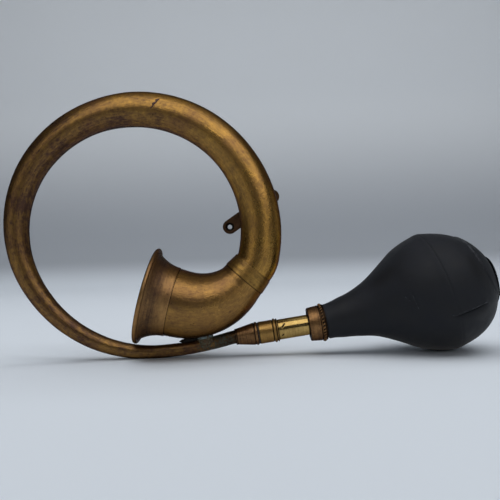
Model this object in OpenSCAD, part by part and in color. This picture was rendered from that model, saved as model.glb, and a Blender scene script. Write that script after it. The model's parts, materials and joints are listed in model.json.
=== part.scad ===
// Coiled brass bulb horn: a tapering tube wound in one turn and flared into a bell,
// with a reed unit at its small end that is blown by a hand-squeezed rubber bulb.
// Millimetres. X runs towards the bulb, Z is up, and Y runs from the front of the horn to
// the bracket behind it. The origin is midway between the bracket's holes, on its back face.

/* [Sheet and wire] */
// Thickness of the brass sheet in the coil and the bell
sheet_t = 0.8; // [0.5:0.1:1.2]
// Gap left for solder between two pieces that are lapped
solder_gap = 0.1; // [0.05:0.05:0.2]
// Radial clearance of a push fit that turns or slides
push_fit = 0.05; // [0.02:0.01:0.1]
// Gap between neighbouring pieces that move past each other
part_gap = 0.3; // [0.2:0.05:0.6]

/* [Coil] */
// Outside diameter of the small pipe at the mouthpiece end
pipe_d = 11.4; // [9:0.1:13]
// Outside diameter of the coil where its quick taper ends, on the crown
crown_d = 30.2; // [26:0.2:33]
// Outside diameter of the coil where it meets the bell
throat_d = 36.5; // [33:0.5:38]
// Straight end of the pipe, held in the ferrule
pipe_seat = 9; // [7:0.5:11]
// Radius of the small offset bend behind the ferrule
offset_r = 43.5; // [35:0.5:60]
// Angle of the offset bend
offset_turn = 7.4; // [6:0.1:9]
// Radius of the lead pipe under the bell
lead_r = 280; // [260:1:300]
// Angle of the lead pipe
lead_turn = 13.2; // [12:0.1:14]
// Radius of the coil at the lower side
lower_r = 116.5; // [110:0.5:122]
// Angle of the lower side
lower_turn = 65.7; // [62:0.1:69]
// Radius of the coil at the far side
side_r = 100.5; // [96:0.5:106]
// Angle of the far side
side_turn = 73.1; // [70:0.1:76]
// Radius of the coil over the crown
crown_r = 107.7; // [102:0.1:113]
// Angle of the crown
crown_turn = 145.9; // [142:0.1:148]
// Radius of the tight bend that leads to the bell
throat_r = 22.3; // [21:0.1:30]
// Angle of the tight bend
throat_turn = 29; // [26:0.5:32]
// Share of the crown's bend at which the quick taper ends
taper_knee = 0.28; // [0.1:0.02:0.5]
// How far the joint with the bell lies past the pipe's end
joint_reach = 4.1; // [0:0.1:8]
// Height of the bell's lowest point above the top of the lead pipe at the solder bridge
bell_gap = 0.2; // [0.1:0.1:2]

/* [Bell] */
// Length of the band soldered over the joint between coil and bell
band_len = 12.4; // [9:0.2:15]
// Thickness of the band
band_t = 0.5; // [0.4:0.1:0.8]
// Straight start of the bell, half of it under the band
bell_lead = 11.1; // [8:0.1:14]
// Outside diameter of the bell where its bend starts
socket_d = 40.6; // [38:0.2:43]
// Radius of the bell's bend
bell_r = 53.9; // [50:0.1:58]
// Angle of the bell's bend
bell_turn = 64; // [60:0.5:68]
// Straight end of the bell's bend, inside the flare's seam
bell_tail = 8.2; // [6:0.2:11]
// Outside diameter of the bell at the flare's seam
seam_d = 59.8; // [54:0.2:64]
// Outside diameter of the bell's mouth, over the rolled rim
mouth_d = 85; // [76:0.5:92]
// Length of the flare from its seam to the mouth
flare_len = 19.3; // [16:0.1:24]
// How far the flare's wall bends outwards from its seam to its lip
flare_curl = 40; // [20:1:50]
// Length of the flare that is lapped over the bend
flare_lap = 3; // [2:0.5:5]
// Diameter of the wire inside the rolled rim
wire_d = 2.2; // [1.6:0.1:3]

/* [Reed fitting] */
// Upward tilt of the fitting's axis
fitting_tilt = 8; // [4:0.5:12]
// Length of the tapered ferrule on the pipe
ferrule_len = 20; // [16:0.5:24]
// Diameter of the ferrule's wide end
ferrule_d = 19.2; // [18:0.1:21]
// Wall of the turned fittings
fitting_t = 0.7; // [0.5:0.1:1]
// Thickness of the leather washer in the union
washer_t = 1; // [0.6:0.1:1.6]
// Length of the socket sleeve beyond the washer
sleeve_len = 16.8; // [14:0.2:22]
// Length of the sleeve's spigot inside the ferrule
spigot_len = 6; // [4:0.5:8]
// Height of the turned beads above the surface they sit on
bead_h = 1; // [0.6:0.1:1.6]
// Outside diameter of the reed tube
reed_tube_d = 17.6; // [16:0.1:18]
// Depth of the reed tube in the sleeve
reed_tube_seat = 13; // [9:0.5:14]
// Length of the reed tube that shows between sleeve and collar
reed_tube_shown = 26.7; // [20:0.1:32]
// Depth of the reed tube in the bulb's neck
reed_tube_grip = 14; // [10:0.5:14]

/* [Reed] */
// Length of the plug that holds the reed in its tube
plug_len = 8; // [6:0.5:10]
// Thickness of the cork round the plug
cork_t = 1; // [0.6:0.1:1.5]
// Outside diameter of the reed's beak
beak_d = 9; // [8:0.5:10]
// Length of the beak beyond the plug
beak_len = 24; // [20:0.5:28]
// Height of the beak's flat face above the axis
beak_flat = 2; // [1.6:0.1:2.4]
// Width of the vibrating tongue
tongue_w = 5; // [4:0.1:6]
// Thickness of the tongue
tongue_t = 0.4; // [0.3:0.05:0.6]
// Angle at which the tongue stands off the beak
tongue_lift = 2.5; // [1.5:0.1:4]
// Length of the clamp that holds the tongue
clamp_len = 5; // [4:0.5:6]
// Diameter of the two clamp screws
reed_screw_d = 1.2; // [1:0.1:1.3]

/* [Bulb] */
// Length of the brass collar on the bulb's neck
collar_len = 14.5; // [12:0.5:18]
// Outside diameter of the rubber neck inside the collar
neck_d = 27; // [24:0.5:29]
// Wall of the collar
collar_t = 0.8; // [0.6:0.1:1.2]
// How much wider the collar is at the bulb than at the front
collar_taper = 2.2; // [0:0.2:3]
// Diameter of the rubber where it leaves the collar
root_d = 31; // [29:0.5:34]
// Diameter of the bulb's belly
bulb_d = 103; // [90:1:112]
// Distance from the collar to the middle of the belly
bulb_reach = 99.5; // [92:0.5:112]
// Wall of the rubber bulb
rubber_t = 3.5; // [2.5:0.5:5]
// Upward tilt of the bulb, which bends a little at its neck
bulb_tilt = 12.6; // [8:0.2:14]
// Diameter of the rubber patch on the bulb's tail
patch_d = 36; // [28:1:44]
// Thickness of the patch
patch_t = 2; // [1:0.5:3]

/* [Bracket] */
// Distance between the bracket's holes
hole_pitch = 44.5; // [38:0.5:52]
// Diameter of the bracket's holes
hole_d = 4.6; // [4:0.1:5.5]
// Width of the bracket strap
strap_w = 12.8; // [10:0.2:16]
// Thickness of the bracket strap
strap_t = 2.2; // [1.6:0.1:3]
// Angle of the strap above the horizontal
strap_angle = 34; // [20:1:50]
// Distance back along the coil from the joint to the strap
strap_back = 58.5; // [50:0.5:70]
// How far the strap's middle lies inside the coil's centre line
strap_inset = 7.8; // [4:0.2:11]
// Length of the saddle soldered between strap and coil
saddle_len = 26; // [18:1:32]
// Thickness of the saddle over the back of the coil
saddle_t = 1.2; // [0.8:0.1:2]
// How far the saddle reaches down the sides of the coil
saddle_wrap = 3; // [2:0.5:5]

/* [Bridge] */
// Distance from the ferrule's small end to the middle of the solder bridge
bridge_from_ferrule = 26; // [22:0.5:30]
// Length of the solder bridge between pipe and bell
bridge_len = 15; // [10:1:20]
// Width of the solder bridge
bridge_w = 9; // [6:0.5:12]
// Height of the solder bridge above the pipe's centre line
bridge_h = 11; // [8:0.5:14]

/* [Hidden] */

brass = [0.62, 0.46, 0.22];
copper = [0.58, 0.38, 0.22];
bright_brass = [0.80, 0.64, 0.28];
old_solder = [0.36, 0.38, 0.30];
steel = [0.5, 0.5, 0.5];
leather = [0.20, 0.13, 0.09];
cork = [0.70, 0.52, 0.34];
bronze = [0.72, 0.52, 0.28];
rubber = [0.09, 0.09, 0.10];

// Facets of the swept tube: sides round it, and the turn between two rings
tube_sides = 32;
ring_turn = 6.6;
round_fn = 96;

// The centre line, walked from the pipe's end to the bell's seam. A piece of it is
// [radius, angle] for a bend, turning clockwise where positive, or [0, length] if straight.
COIL_ROUTE = [
    [0, pipe_seat],
    [-offset_r, -offset_turn],
    [lead_r, lead_turn],
    [lower_r, lower_turn],
    [side_r, side_turn],
    [crown_r, crown_turn],
    [throat_r, throat_turn],
    [0, band_len / 2]
];
BELL_ROUTE = [
    [0, bell_lead],
    [bell_r, bell_turn],
    [0, bell_tail]
];
ROUTE = concat(COIL_ROUTE, BELL_ROUTE);

function piece_len(g) = g[0] == 0 ? g[1] : abs(g[0] * g[1]) * PI / 180;
function route_len(route, i = 0) = i == len(route) ? 0 : piece_len(route[i]) + route_len(route, i + 1);

// A place on the route is [x, z, heading]
function along_straight(p, s) = [p[0] + s * cos(p[2]), p[1] + s * sin(p[2]), p[2]];
function along_bend(p, r, turn) =
    let (h = p[2] - turn)
    [p[0] + r * (sin(p[2]) - sin(h)), p[1] + r * (cos(h) - cos(p[2])), h];
function along(p, g, s) =
    g[0] == 0 ? along_straight(p, s) : along_bend(p, g[0], s / g[0] * 180 / PI);
function walk_bends(s, i = 0, p = [0, 0, 180 + fitting_tilt]) =
    let (length = piece_len(ROUTE[i]))
    s <= length || i == len(ROUTE) - 1
        ? along(p, ROUTE[i], s)
        : walk_bends(s - length, i + 1, along(p, ROUTE[i], length));

coil_len = route_len(COIL_ROUTE);
horn_len = route_len(ROUTE);
pipe_len = piece_len(COIL_ROUTE[0]) + piece_len(COIL_ROUTE[1]) + piece_len(COIL_ROUTE[2]);
crown_start = pipe_len + piece_len(COIL_ROUTE[3]) + piece_len(COIL_ROUTE[4]);
crown_knee = crown_start + taper_knee * piece_len(COIL_ROUTE[5]);
joint_start = coil_len - band_len / 2;
bell_start = coil_len + bell_lead;

// Outside diameter along the route: a plain pipe, a quick taper to the crown, a slow one to the
// joint, and a bell that widens at once and then less and less
function outside_d(s) =
    s > bell_start
        ? socket_d + (seam_d - socket_d) * sin(90 * (s - bell_start) / (horn_len - bell_start))
        : lookup(s, [
            [0, pipe_d],
            [pipe_len, pipe_d],
            [crown_knee, crown_d],
            [joint_start, throat_d],
            [bell_start, socket_d]
        ]);

// The joint is wanted where the level part of the bell clears the pipe. What the bends by
// themselves miss it by is spread smoothly over the coil.
joint_plain = walk_bends(coil_len);
level_station = bell_start + bell_r * (joint_plain[2] + 180) * PI / 180;
bridge_station = pipe_seat + bridge_from_ferrule;
joint_rise = walk_bends(bridge_station)[1] + pipe_d / 2 + bell_gap + outside_d(level_station) / 2
    + joint_plain[1] - walk_bends(level_station)[1];
joint_miss = [joint_reach - joint_plain[0], joint_rise - joint_plain[1], 0];
function spread(s) =
    let (share = (s - pipe_len) / (joint_start - pipe_len))
    (1 - cos(180 * min(1, max(0, share)))) / 2;
function walk(s) = walk_bends(s) + joint_miss * spread(s);

// Ring stations of one piece of the route, closer where it bends, without the first
function piece_steps(g) = g[0] == 0 ? 1 : ceil(abs(g[1]) / ring_turn);
function stations_of(route, start, i = 0) =
    i == len(route) ? [] : concat(
        [for (k = [1 : piece_steps(route[i])]) start + piece_len(route[i]) * k / piece_steps(route[i])],
        stations_of(route, start + piece_len(route[i]), i + 1)
    );
coil_stations = concat([0], stations_of(COIL_ROUTE, 0));
bell_stations = concat([coil_len], stations_of(BELL_ROUTE, coil_len));

// Places that other pieces are set by
mouth_place = along_straight(walk(horn_len), flare_len);
strap_station = coil_len - strap_back;
strap_place = walk(strap_station);
coil_back = outside_d(strap_station) / 2;
strap_centre = [
    strap_place[0] + strap_inset * sin(strap_place[2]),
    strap_place[1] - strap_inset * cos(strap_place[2])
];
bracket_y = coil_back + saddle_t + strap_t;
horn_origin = [-strap_centre[0], -bracket_y, -strap_centre[1]];

// Distances along the fitting's axis, from the pipe's end towards the bulb
ferrule_start = -pipe_seat;
ferrule_end = ferrule_start + ferrule_len;
sleeve_start = ferrule_end + washer_t;
sleeve_end = sleeve_start + sleeve_len;
reed_start = sleeve_end - reed_tube_seat;
collar_start = sleeve_end + reed_tube_shown;
collar_end = collar_start + collar_len;
reed_end = collar_start + reed_tube_grip;
bulb_root = collar_end + part_gap;

sleeve_bore = reed_tube_d / 2 + solder_gap;
spigot_r = ferrule_d / 2 - fitting_t - push_fit;
reed_bore = reed_tube_d / 2 - fitting_t;
neck_bore = reed_tube_d / 2 + push_fit;
plug_r = reed_bore - cork_t - 2 * push_fit;

// The whole horn is drawn from the pipe's end and moved so that the bracket is the origin
module in_place() {
    translate(horn_origin) children();
}

// Turns a shape drawn along +Z into the fitting's axis, which starts at the pipe's end
module on_fitting(distance = 0) {
    in_place() rotate([0, 90 - fitting_tilt, 0]) translate([0, 0, distance]) children();
}

// Turns a shape drawn along +Z into the bulb's axis, which starts where the collar ends
module on_bulb() {
    on_fitting(bulb_root) rotate([0, fitting_tilt - bulb_tilt, 0]) children();
}

// Turns a shape drawn along +Z into the route's direction at a place on it
module on_route(place) {
    in_place() translate([place[0], 0, place[1]]) rotate([0, 90 - place[2], 0]) children();
}

// A ring of points round the route
function ring(s, r) =
    let (p = walk(s))
    [for (k = [0 : tube_sides - 1])
        let (a = 360 * k / tube_sides)
        [p[0] - r * cos(a) * sin(p[2]), r * sin(a), p[1] + r * cos(a) * cos(p[2])]];

// Two triangles between ring i and ring j, on the side that starts at corner k
function side_faces(i, j, k) =
    let (n = tube_sides, m = (k + 1) % n)
    [[i * n + k, j * n + m, j * n + k], [i * n + k, i * n + m, j * n + m]];

// A hollow tube swept along the route, one closed skin that runs up the outside and back
// down the bore
module swept_tube(stations) {
    count = len(stations);
    rings = concat(
        [for (s = stations) ring(s, outside_d(s) / 2)],
        [for (i = [count - 1 : -1 : 0]) ring(stations[i], outside_d(stations[i]) / 2 - sheet_t)]
    );
    in_place() polyhedron(
        points = [for (r = rings) each r],
        faces = [for (i = [0 : 2 * count - 1], k = [0 : tube_sides - 1])
            each side_faces(i, (i + 1) % (2 * count), k)]
    );
}

// The same stretch of the route as a solid bar, for cutting what is soldered against it
module swept_bar(stations) {
    count = len(stations);
    in_place() polyhedron(
        points = [for (s = stations) each ring(s, outside_d(s) / 2)],
        faces = concat(
            [for (i = [0 : count - 2], k = [0 : tube_sides - 1]) each side_faces(i, i + 1, k)],
            [[for (k = [tube_sides - 1 : -1 : 0]) k]],
            [[for (k = [0 : tube_sides - 1]) (count - 1) * tube_sides + k]]
        )
    );
}

// The stations of a route that lie within a reach of one place, with one more at each end
function stations_near(stations, s, reach) =
    [for (i = [0 : len(stations) - 1])
        let (low = stations[max(i - 1, 0)], high = stations[min(i + 1, len(stations) - 1)])
        if (high >= s - reach && low <= s + reach) stations[i]];

// A ring turned from a profile of radius and height
module turned(profile) {
    rotate_extrude($fn = round_fn) polygon(profile);
}

// A half-round bead on the outside of a turned piece, centred at a height
module bead(r, z, h = bead_h) {
    translate([0, 0, z]) rotate_extrude($fn = round_fn) intersection() {
        translate([r, 0]) circle(r = h, $fn = 32);
        translate([r - fitting_t / 2, -h]) square([h + fitting_t, 2 * h]);
    }
}

// The tapering tube of the coil, from the pipe in the ferrule to the joint with the bell
module coil_tube() {
    color(brass) swept_tube(coil_stations);
}

// The band soldered over the butt joint between coil and bell
module joint_band() {
    middle = walk(coil_len);
    front_r = outside_d(coil_len - band_len / 2) / 2 + solder_gap;
    back_r = outside_d(coil_len + band_len / 2) / 2 + solder_gap;
    color(brass) on_route(middle) turned([
        [front_r, -band_len / 2],
        [front_r + band_t, -band_len / 2],
        [back_r + band_t, band_len / 2],
        [back_r, band_len / 2]
    ]);
}

// The curved body of the bell
module bell_bend() {
    color(brass) swept_tube(bell_stations);
}

// The flare's outer wall: one arc that stands off the axis more and more towards the lip
flare_foot_r = seam_d / 2 + solder_gap + sheet_t;
rim_r = wire_d / 2 + push_fit + sheet_t;
flare_lip_r = mouth_d / 2 - rim_r;
flare_chord = norm([flare_lip_r - flare_foot_r, flare_len]);
flare_slope = atan2(flare_lip_r - flare_foot_r, flare_len) - flare_curl / 2;
flare_arc_r = flare_chord / (2 * sin(flare_curl / 2));
function flare_points(inset, steps) =
    [for (i = [0 : steps])
        let (a = flare_slope + flare_curl * i / steps)
        [
            flare_foot_r + flare_arc_r * cos(flare_slope) - (flare_arc_r + inset) * cos(a),
            (flare_arc_r + inset) * sin(a) - flare_arc_r * sin(flare_slope)
        ]];

// The spun flare, lapped over the bend and rolled round the rim wire
module bell_flare() {
    steps = 12;
    outside = flare_points(0, steps);
    inside = flare_points(sheet_t, steps);
    color(brass) on_route(walk(horn_len)) difference() {
        union() {
            turned(concat(
                [[flare_foot_r, -flare_lap]],
                outside,
                [for (i = [steps : -1 : 0]) inside[i]],
                [[flare_foot_r - sheet_t, -flare_lap]]
            ));
            translate([0, 0, flare_len]) rotate_extrude($fn = round_fn)
                translate([flare_lip_r, 0]) circle(r = rim_r, $fn = 32);
        }
        translate([0, 0, flare_len]) rotate_extrude($fn = round_fn)
            translate([flare_lip_r, 0]) circle(r = wire_d / 2 + push_fit, $fn = 32);
    }
}

// The iron wire that stiffens the rolled rim
module rim_wire() {
    color(steel) on_route(mouth_place) rotate_extrude($fn = round_fn)
        translate([flare_lip_r, 0]) circle(d = wire_d, $fn = 32);
}

// The lump of solder that ties the lead pipe to the underside of the bell
module pipe_bridge() {
    color(old_solder) difference() {
        on_route(walk(bridge_station)) translate([0, 0, -bridge_len / 2]) linear_extrude(bridge_len)
            translate([0, -bridge_w / 2]) square([bridge_h, bridge_w]);
        swept_bar(stations_near(coil_stations, bridge_station, bridge_len));
        swept_bar(bell_stations);
    }
}

// The outline of the strap: two round ends joined by straight sides, less its holes
module strap_outline() {
    difference() {
        union() {
            square([hole_pitch, strap_w], center = true);
            for (side = [-1, 1]) translate([side * hole_pitch / 2, 0]) circle(d = strap_w, $fn = round_fn);
        }
        for (side = [-1, 1]) translate([side * hole_pitch / 2, 0]) circle(d = hole_d, $fn = 48);
    }
}

// The flat strap behind the coil, with a bolt hole at each end
module bracket_strap() {
    color(brass) rotate([90, -strap_angle, 0]) linear_extrude(strap_t) strap_outline();
}

// The saddle that fits the round back of the coil and carries the strap
module bracket_saddle() {
    depth = saddle_t + saddle_wrap;
    shift = strap_inset / cos(strap_angle);
    color(old_solder) difference() {
        translate([0, -strap_t, 0]) rotate([90, -strap_angle, 0])
            translate([shift - saddle_len / 2, -strap_w / 2, 0]) cube([saddle_len, strap_w, depth]);
        swept_bar(stations_near(coil_stations, strap_station, saddle_len));
    }
}

// The tapered ferrule soldered on the pipe's end
module pipe_ferrule() {
    pipe_bore = pipe_d / 2 + solder_gap;
    mouth_bore = ferrule_d / 2 - fitting_t;
    cone_end = ferrule_len - spigot_len - part_gap;
    color(copper) on_fitting(ferrule_start) union() {
        turned([
            [pipe_bore, 0],
            [pipe_bore + fitting_t, 0],
            [ferrule_d / 2, cone_end],
            [ferrule_d / 2, ferrule_len],
            [mouth_bore, ferrule_len],
            [mouth_bore, cone_end],
            [pipe_bore, pipe_seat]
        ]);
        bead(ferrule_d / 2, ferrule_len - bead_h, bead_h * 0.7);
    }
}

// The leather washer nipped between ferrule and sleeve
module union_washer() {
    color(leather) on_fitting(ferrule_end) difference() {
        cylinder(h = washer_t, d = ferrule_d - fitting_t, $fn = round_fn);
        translate([0, 0, -1]) cylinder(h = washer_t + 2, r = spigot_r + push_fit, $fn = round_fn);
    }
}

// The socket sleeve: a spigot that turns in the ferrule and a beaded mouth for the reed tube
module socket_sleeve() {
    shoulder = reed_start - solder_gap;
    outer_r = sleeve_bore + fitting_t;
    bore_r = spigot_r - fitting_t;
    color(bright_brass) on_fitting() union() {
        turned([
            [bore_r, sleeve_start - washer_t - spigot_len],
            [spigot_r, sleeve_start - washer_t - spigot_len],
            [spigot_r, sleeve_start],
            [outer_r, sleeve_start],
            [outer_r, sleeve_end],
            [sleeve_bore, sleeve_end],
            [sleeve_bore, shoulder],
            [bore_r, shoulder]
        ]);
        bead(outer_r, sleeve_end - bead_h * 1.2, bead_h * 1.2);
    }
}

// The reed tube, which carries the reed and enters the bulb's neck
module reed_tube() {
    color(bright_brass) on_fitting(reed_start) difference() {
        cylinder(h = reed_end - reed_start, d = reed_tube_d, $fn = round_fn);
        translate([0, 0, -1]) cylinder(h = reed_end - reed_start + 2, r = reed_bore, $fn = round_fn);
    }
}

// The reed's plug and its hollow beak, with a flat face and the slot that the tongue covers
module reed_plug() {
    beak_bore = beak_d / 2 - 2 * fitting_t;
    slot_w = tongue_w * 0.6;
    slot_start = plug_len + clamp_len;
    slot_len = beak_len - clamp_len - 3 * fitting_t;
    color(bronze) on_fitting(reed_start) difference() {
        union() {
            cylinder(h = plug_len, r = plug_r, $fn = round_fn);
            intersection() {
                cylinder(h = plug_len + beak_len, d = beak_d, $fn = round_fn);
                translate([-beak_d, -beak_d, 0]) cube([beak_d + beak_flat, 2 * beak_d, plug_len + beak_len]);
            }
        }
        intersection() {
            translate([0, 0, -1]) cylinder(h = plug_len + beak_len + 1 - 2 * fitting_t, r = beak_bore, $fn = 64);
            translate([-beak_d, -beak_d, -1]) cube([beak_d + beak_flat - 2 * fitting_t, 2 * beak_d, 2 * beak_len]);
        }
        translate([0, -slot_w / 2, slot_start]) cube([beak_d, slot_w, slot_len]);
        for (side = [-1, 1]) reed_screw_bore(side);
    }
}

// Where the two clamp screws sit, and the hole for one
screw_height = plug_len + clamp_len / 2;
screw_side = tongue_w * 0.26;
module reed_screw_bore(side) {
    translate([beak_flat - 3.2 * tongue_t, side * screw_side, screw_height]) rotate([0, 90, 0])
        cylinder(h = 7 * tongue_t, d = reed_screw_d + 2 * push_fit, $fn = 32);
}

// The cork sleeve that seals the plug in the tube
module reed_cork() {
    color(cork) on_fitting(reed_start + part_gap) difference() {
        cylinder(h = plug_len - 2 * part_gap, r = reed_bore - push_fit, $fn = round_fn);
        translate([0, 0, -1]) cylinder(h = plug_len + 2, r = plug_r + push_fit, $fn = round_fn);
    }
}

// The vibrating tongue: its root lies flat under the clamp, and its free end stands off the slot
module reed_tongue() {
    root = plug_len + part_gap;
    free_len = beak_len - clamp_len - part_gap;
    color(bright_brass) on_fitting(reed_start) difference() {
        translate([beak_flat, -tongue_w / 2, 0]) union() {
            translate([0, 0, root]) cube([tongue_t, tongue_w, clamp_len]);
            translate([0, 0, root + clamp_len]) rotate([0, tongue_lift, 0])
                cube([tongue_t, tongue_w, free_len]);
        }
        for (side = [-1, 1]) reed_screw_bore(side);
    }
}

// The bar that clamps the tongue's root
module reed_clamp() {
    color(bronze) on_fitting(reed_start) difference() {
        translate([beak_flat + tongue_t, -tongue_w / 2, plug_len + part_gap])
            cube([2 * tongue_t, tongue_w, clamp_len]);
        for (side = [-1, 1]) reed_screw_bore(side);
    }
}

// The two screws through clamp and tongue
module reed_screws() {
    head_x = beak_flat + 3 * tongue_t;
    color(steel) on_fitting(reed_start) for (side = [-1, 1])
        translate([0, side * screw_side, screw_height]) union() {
            translate([beak_flat - 3 * tongue_t, 0, 0]) rotate([0, 90, 0])
                cylinder(h = 6 * tongue_t, d = reed_screw_d, $fn = 32);
            translate([head_x, 0, 0]) rotate([0, 90, 0])
                cylinder(h = 2 * tongue_t, d = reed_screw_d * 1.5, $fn = 32);
        }
}

// The brass collar that grips the rubber neck, rolled in at the front and beaded at the bulb
module bulb_collar() {
    front_r = neck_d / 2 + solder_gap;
    back_r = front_r + collar_taper / 2;
    lip = rubber_t / 2;
    color(copper) on_fitting(collar_start) union() {
        turned([
            [front_r - lip, 0],
            [front_r + collar_t / 2, 0],
            [front_r + collar_t, collar_t / 2],
            [back_r + collar_t, collar_len],
            [back_r, collar_len],
            [front_r, collar_t],
            [front_r - lip, collar_t]
        ]);
        bead(back_r + collar_t, collar_len - bead_h, bead_h);
    }
}

// The bulb's outer radius at a distance from the collar, for a sphere that runs into the
// neck by one hollow arc that touches both
belly_r = bulb_d / 2;
hollow_r = (pow(bulb_reach, 2) + pow(root_d / 2, 2) - pow(belly_r, 2)) / (2 * belly_r - root_d);
hollow_share = hollow_r / (hollow_r + belly_r);
hollow_end = bulb_reach * hollow_share;
function pear_points(shrink, steps) =
    let (
        sweep = asin(hollow_end / hollow_r),
        start = acos((bulb_reach - hollow_end) / belly_r)
    )
    concat(
        [for (i = [0 : steps]) let (a = sweep * i / steps)
            [root_d / 2 + hollow_r - (hollow_r + shrink) * cos(a), (hollow_r + shrink) * sin(a)]],
        [for (i = [1 : steps]) let (a = start + (180 - start) * i / steps)
            [max(0, (belly_r - shrink) * sin(a)), bulb_reach - (belly_r - shrink) * cos(a)]]
    );

// The rubber bulb: a thick neck inside the collar and a hollow pear beyond it, which is cut
// off square to the collar although it leaves at a slight tilt
module rubber_bulb() {
    steps = 16;
    lip = collar_t + part_gap / 2;
    back = root_d * sin(abs(bulb_tilt - fitting_tilt));
    color(rubber) difference() {
        union() {
            difference() {
                on_bulb() turned(concat([[0, -back], [root_d / 2, -back]], pear_points(0, steps)));
                on_fitting() cylinder(h = bulb_root, r = root_d, $fn = round_fn);
            }
            on_fitting() translate([0, 0, collar_start + lip])
                cylinder(h = bulb_root - collar_start - lip + rubber_t, d = neck_d, $fn = round_fn);
        }
        on_bulb() turned(concat([[0, 0]], pear_points(rubber_t, steps)));
        on_fitting() translate([0, 0, collar_start - 1])
            cylinder(h = collar_len + 4 * rubber_t, r = neck_bore, $fn = round_fn);
    }
}

// The round patch cemented on the bulb's tail
module tail_patch() {
    inner_r = belly_r + part_gap;
    outer_r = inner_r + patch_t;
    color(rubber) on_bulb() translate([0, 0, bulb_reach]) intersection() {
        difference() {
            sphere(r = outer_r, $fn = round_fn);
            sphere(r = inner_r, $fn = round_fn);
        }
        cylinder(h = 2 * belly_r, d = patch_d, $fn = round_fn);
    }
}

coil_tube();
joint_band();
bell_bend();
bell_flare();
rim_wire();
pipe_bridge();
bracket_strap();
bracket_saddle();
pipe_ferrule();
union_washer();
socket_sleeve();
reed_tube();
reed_plug();
reed_cork();
reed_tongue();
reed_clamp();
reed_screws();
bulb_collar();
rubber_bulb();
tail_patch();
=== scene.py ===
import json
import math

import bmesh
import bpy
import numpy as np
from mathutils import Matrix, Vector, noise


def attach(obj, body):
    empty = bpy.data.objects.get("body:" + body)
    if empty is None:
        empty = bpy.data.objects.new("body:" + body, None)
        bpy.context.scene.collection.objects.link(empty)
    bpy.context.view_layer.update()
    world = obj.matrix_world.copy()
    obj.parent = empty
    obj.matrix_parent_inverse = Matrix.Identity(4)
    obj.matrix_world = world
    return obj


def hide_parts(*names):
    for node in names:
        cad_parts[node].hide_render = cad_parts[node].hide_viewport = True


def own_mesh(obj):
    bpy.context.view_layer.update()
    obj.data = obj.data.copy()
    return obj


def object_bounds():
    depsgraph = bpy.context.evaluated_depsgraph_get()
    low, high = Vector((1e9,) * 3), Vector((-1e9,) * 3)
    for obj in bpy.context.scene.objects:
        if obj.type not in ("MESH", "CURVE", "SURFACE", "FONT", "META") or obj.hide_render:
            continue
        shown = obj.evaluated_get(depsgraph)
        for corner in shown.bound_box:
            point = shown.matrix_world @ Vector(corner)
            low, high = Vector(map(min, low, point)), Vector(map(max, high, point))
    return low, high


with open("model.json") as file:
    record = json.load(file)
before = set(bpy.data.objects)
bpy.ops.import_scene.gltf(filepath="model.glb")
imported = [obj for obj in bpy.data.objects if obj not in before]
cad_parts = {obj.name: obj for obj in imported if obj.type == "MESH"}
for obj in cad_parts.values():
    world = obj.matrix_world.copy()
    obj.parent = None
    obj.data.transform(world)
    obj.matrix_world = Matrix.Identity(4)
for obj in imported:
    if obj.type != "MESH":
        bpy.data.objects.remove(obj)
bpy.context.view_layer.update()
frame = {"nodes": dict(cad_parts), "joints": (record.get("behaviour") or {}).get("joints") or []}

# Coil tube
# Brass sheet rolled to a tapering tube, brazed along its seam and wound in one flat turn round a former.
# Its small end is left a plain pipe. Age has browned it, and handling has rubbed gold streaks along it.
MM = 0.001
joints = {joint["name"]: joint for joint in frame["joints"]}
pipe_end = Vector(joints["union_turn"]["pos_m"])
fitting_axis = Vector(joints["union_turn"]["axis"])
SHEET = 0.8
PIPE_D = 11.4
CROWN_D = 30.2
THROAT_D = 36.5
SOCKET_D = 40.6
SEAM_D = 59.8
BAND_LENGTH = 12.4
BELL_LEAD = 11.1
# A bend is (radius, degrees), clockwise where positive, and a straight is (0, length)
PIPE_BENDS = [(0, 9), (-43.5, -7.4), (280, 13.2)]
LOWER_BENDS = [(116.5, 65.7), (100.5, 73.1)]
CROWN_BEND = (107.7, 145.9)
THROAT_BENDS = [(22.3, 29), (0, BAND_LENGTH / 2)]
BELL_BENDS = [(0, BELL_LEAD), (53.9, 64), (0, 8.2)]
TAPER_KNEE = 0.28
# The rings stand closer together beside the seams, where lines of dirt lie
SEAM_BENDS = [THROAT_BENDS[0], BELL_BENDS[0], BELL_BENDS[-1]]
RING_SPACING = 2.0
SEAM_SPACING = 0.4
COIL_SIDES = 80
DENT_DEPTH = 0.7
DENT_SIZE = 45
DENT_SEED = 3.0
MARK_STRETCH = 0.16


def run_length(bends):
    """Length of a run of bends along its centre line, in mm."""
    return sum(abs(radius * math.radians(size)) if radius else size for radius, size in bends)


def along_bends(bends, place):
    """Places (x, z, heading, distance) along a run of bends, in mm and radians, starting from a place."""
    places = [place]
    for bend in bends:
        x, z, heading, gone = places[-1]
        length = run_length([bend])
        steps = max(2, round(length / (SEAM_SPACING if bend in SEAM_BENDS else RING_SPACING)))
        for part in np.linspace(0, length, steps + 1)[1:]:
            turn = part / bend[0] if bend[0] else 0.0
            chord = part * np.sinc(turn / (2 * math.pi))
            way = heading - turn / 2
            places.append((x + chord * math.cos(way), z + chord * math.sin(way), heading - turn, gone + part))
    return places


coil_bends = PIPE_BENDS + LOWER_BENDS + [CROWN_BEND] + THROAT_BENDS
pipe_length = run_length(PIPE_BENDS)
crown_start = run_length(PIPE_BENDS + LOWER_BENDS)
crown_knee = crown_start + TAPER_KNEE * run_length([CROWN_BEND])
coil_length = run_length(coil_bends)
half_band = BAND_LENGTH / 2
bell_start = coil_length + BELL_LEAD
horn_length = run_length(coil_bends + BELL_BENDS)
pipe_heading = math.pi + math.atan2(fitting_axis.z, fitting_axis.x)
coil_places = along_bends(coil_bends, (0, 0, pipe_heading, 0))
bell_places = along_bends(BELL_BENDS, coil_places[-1])


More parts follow.
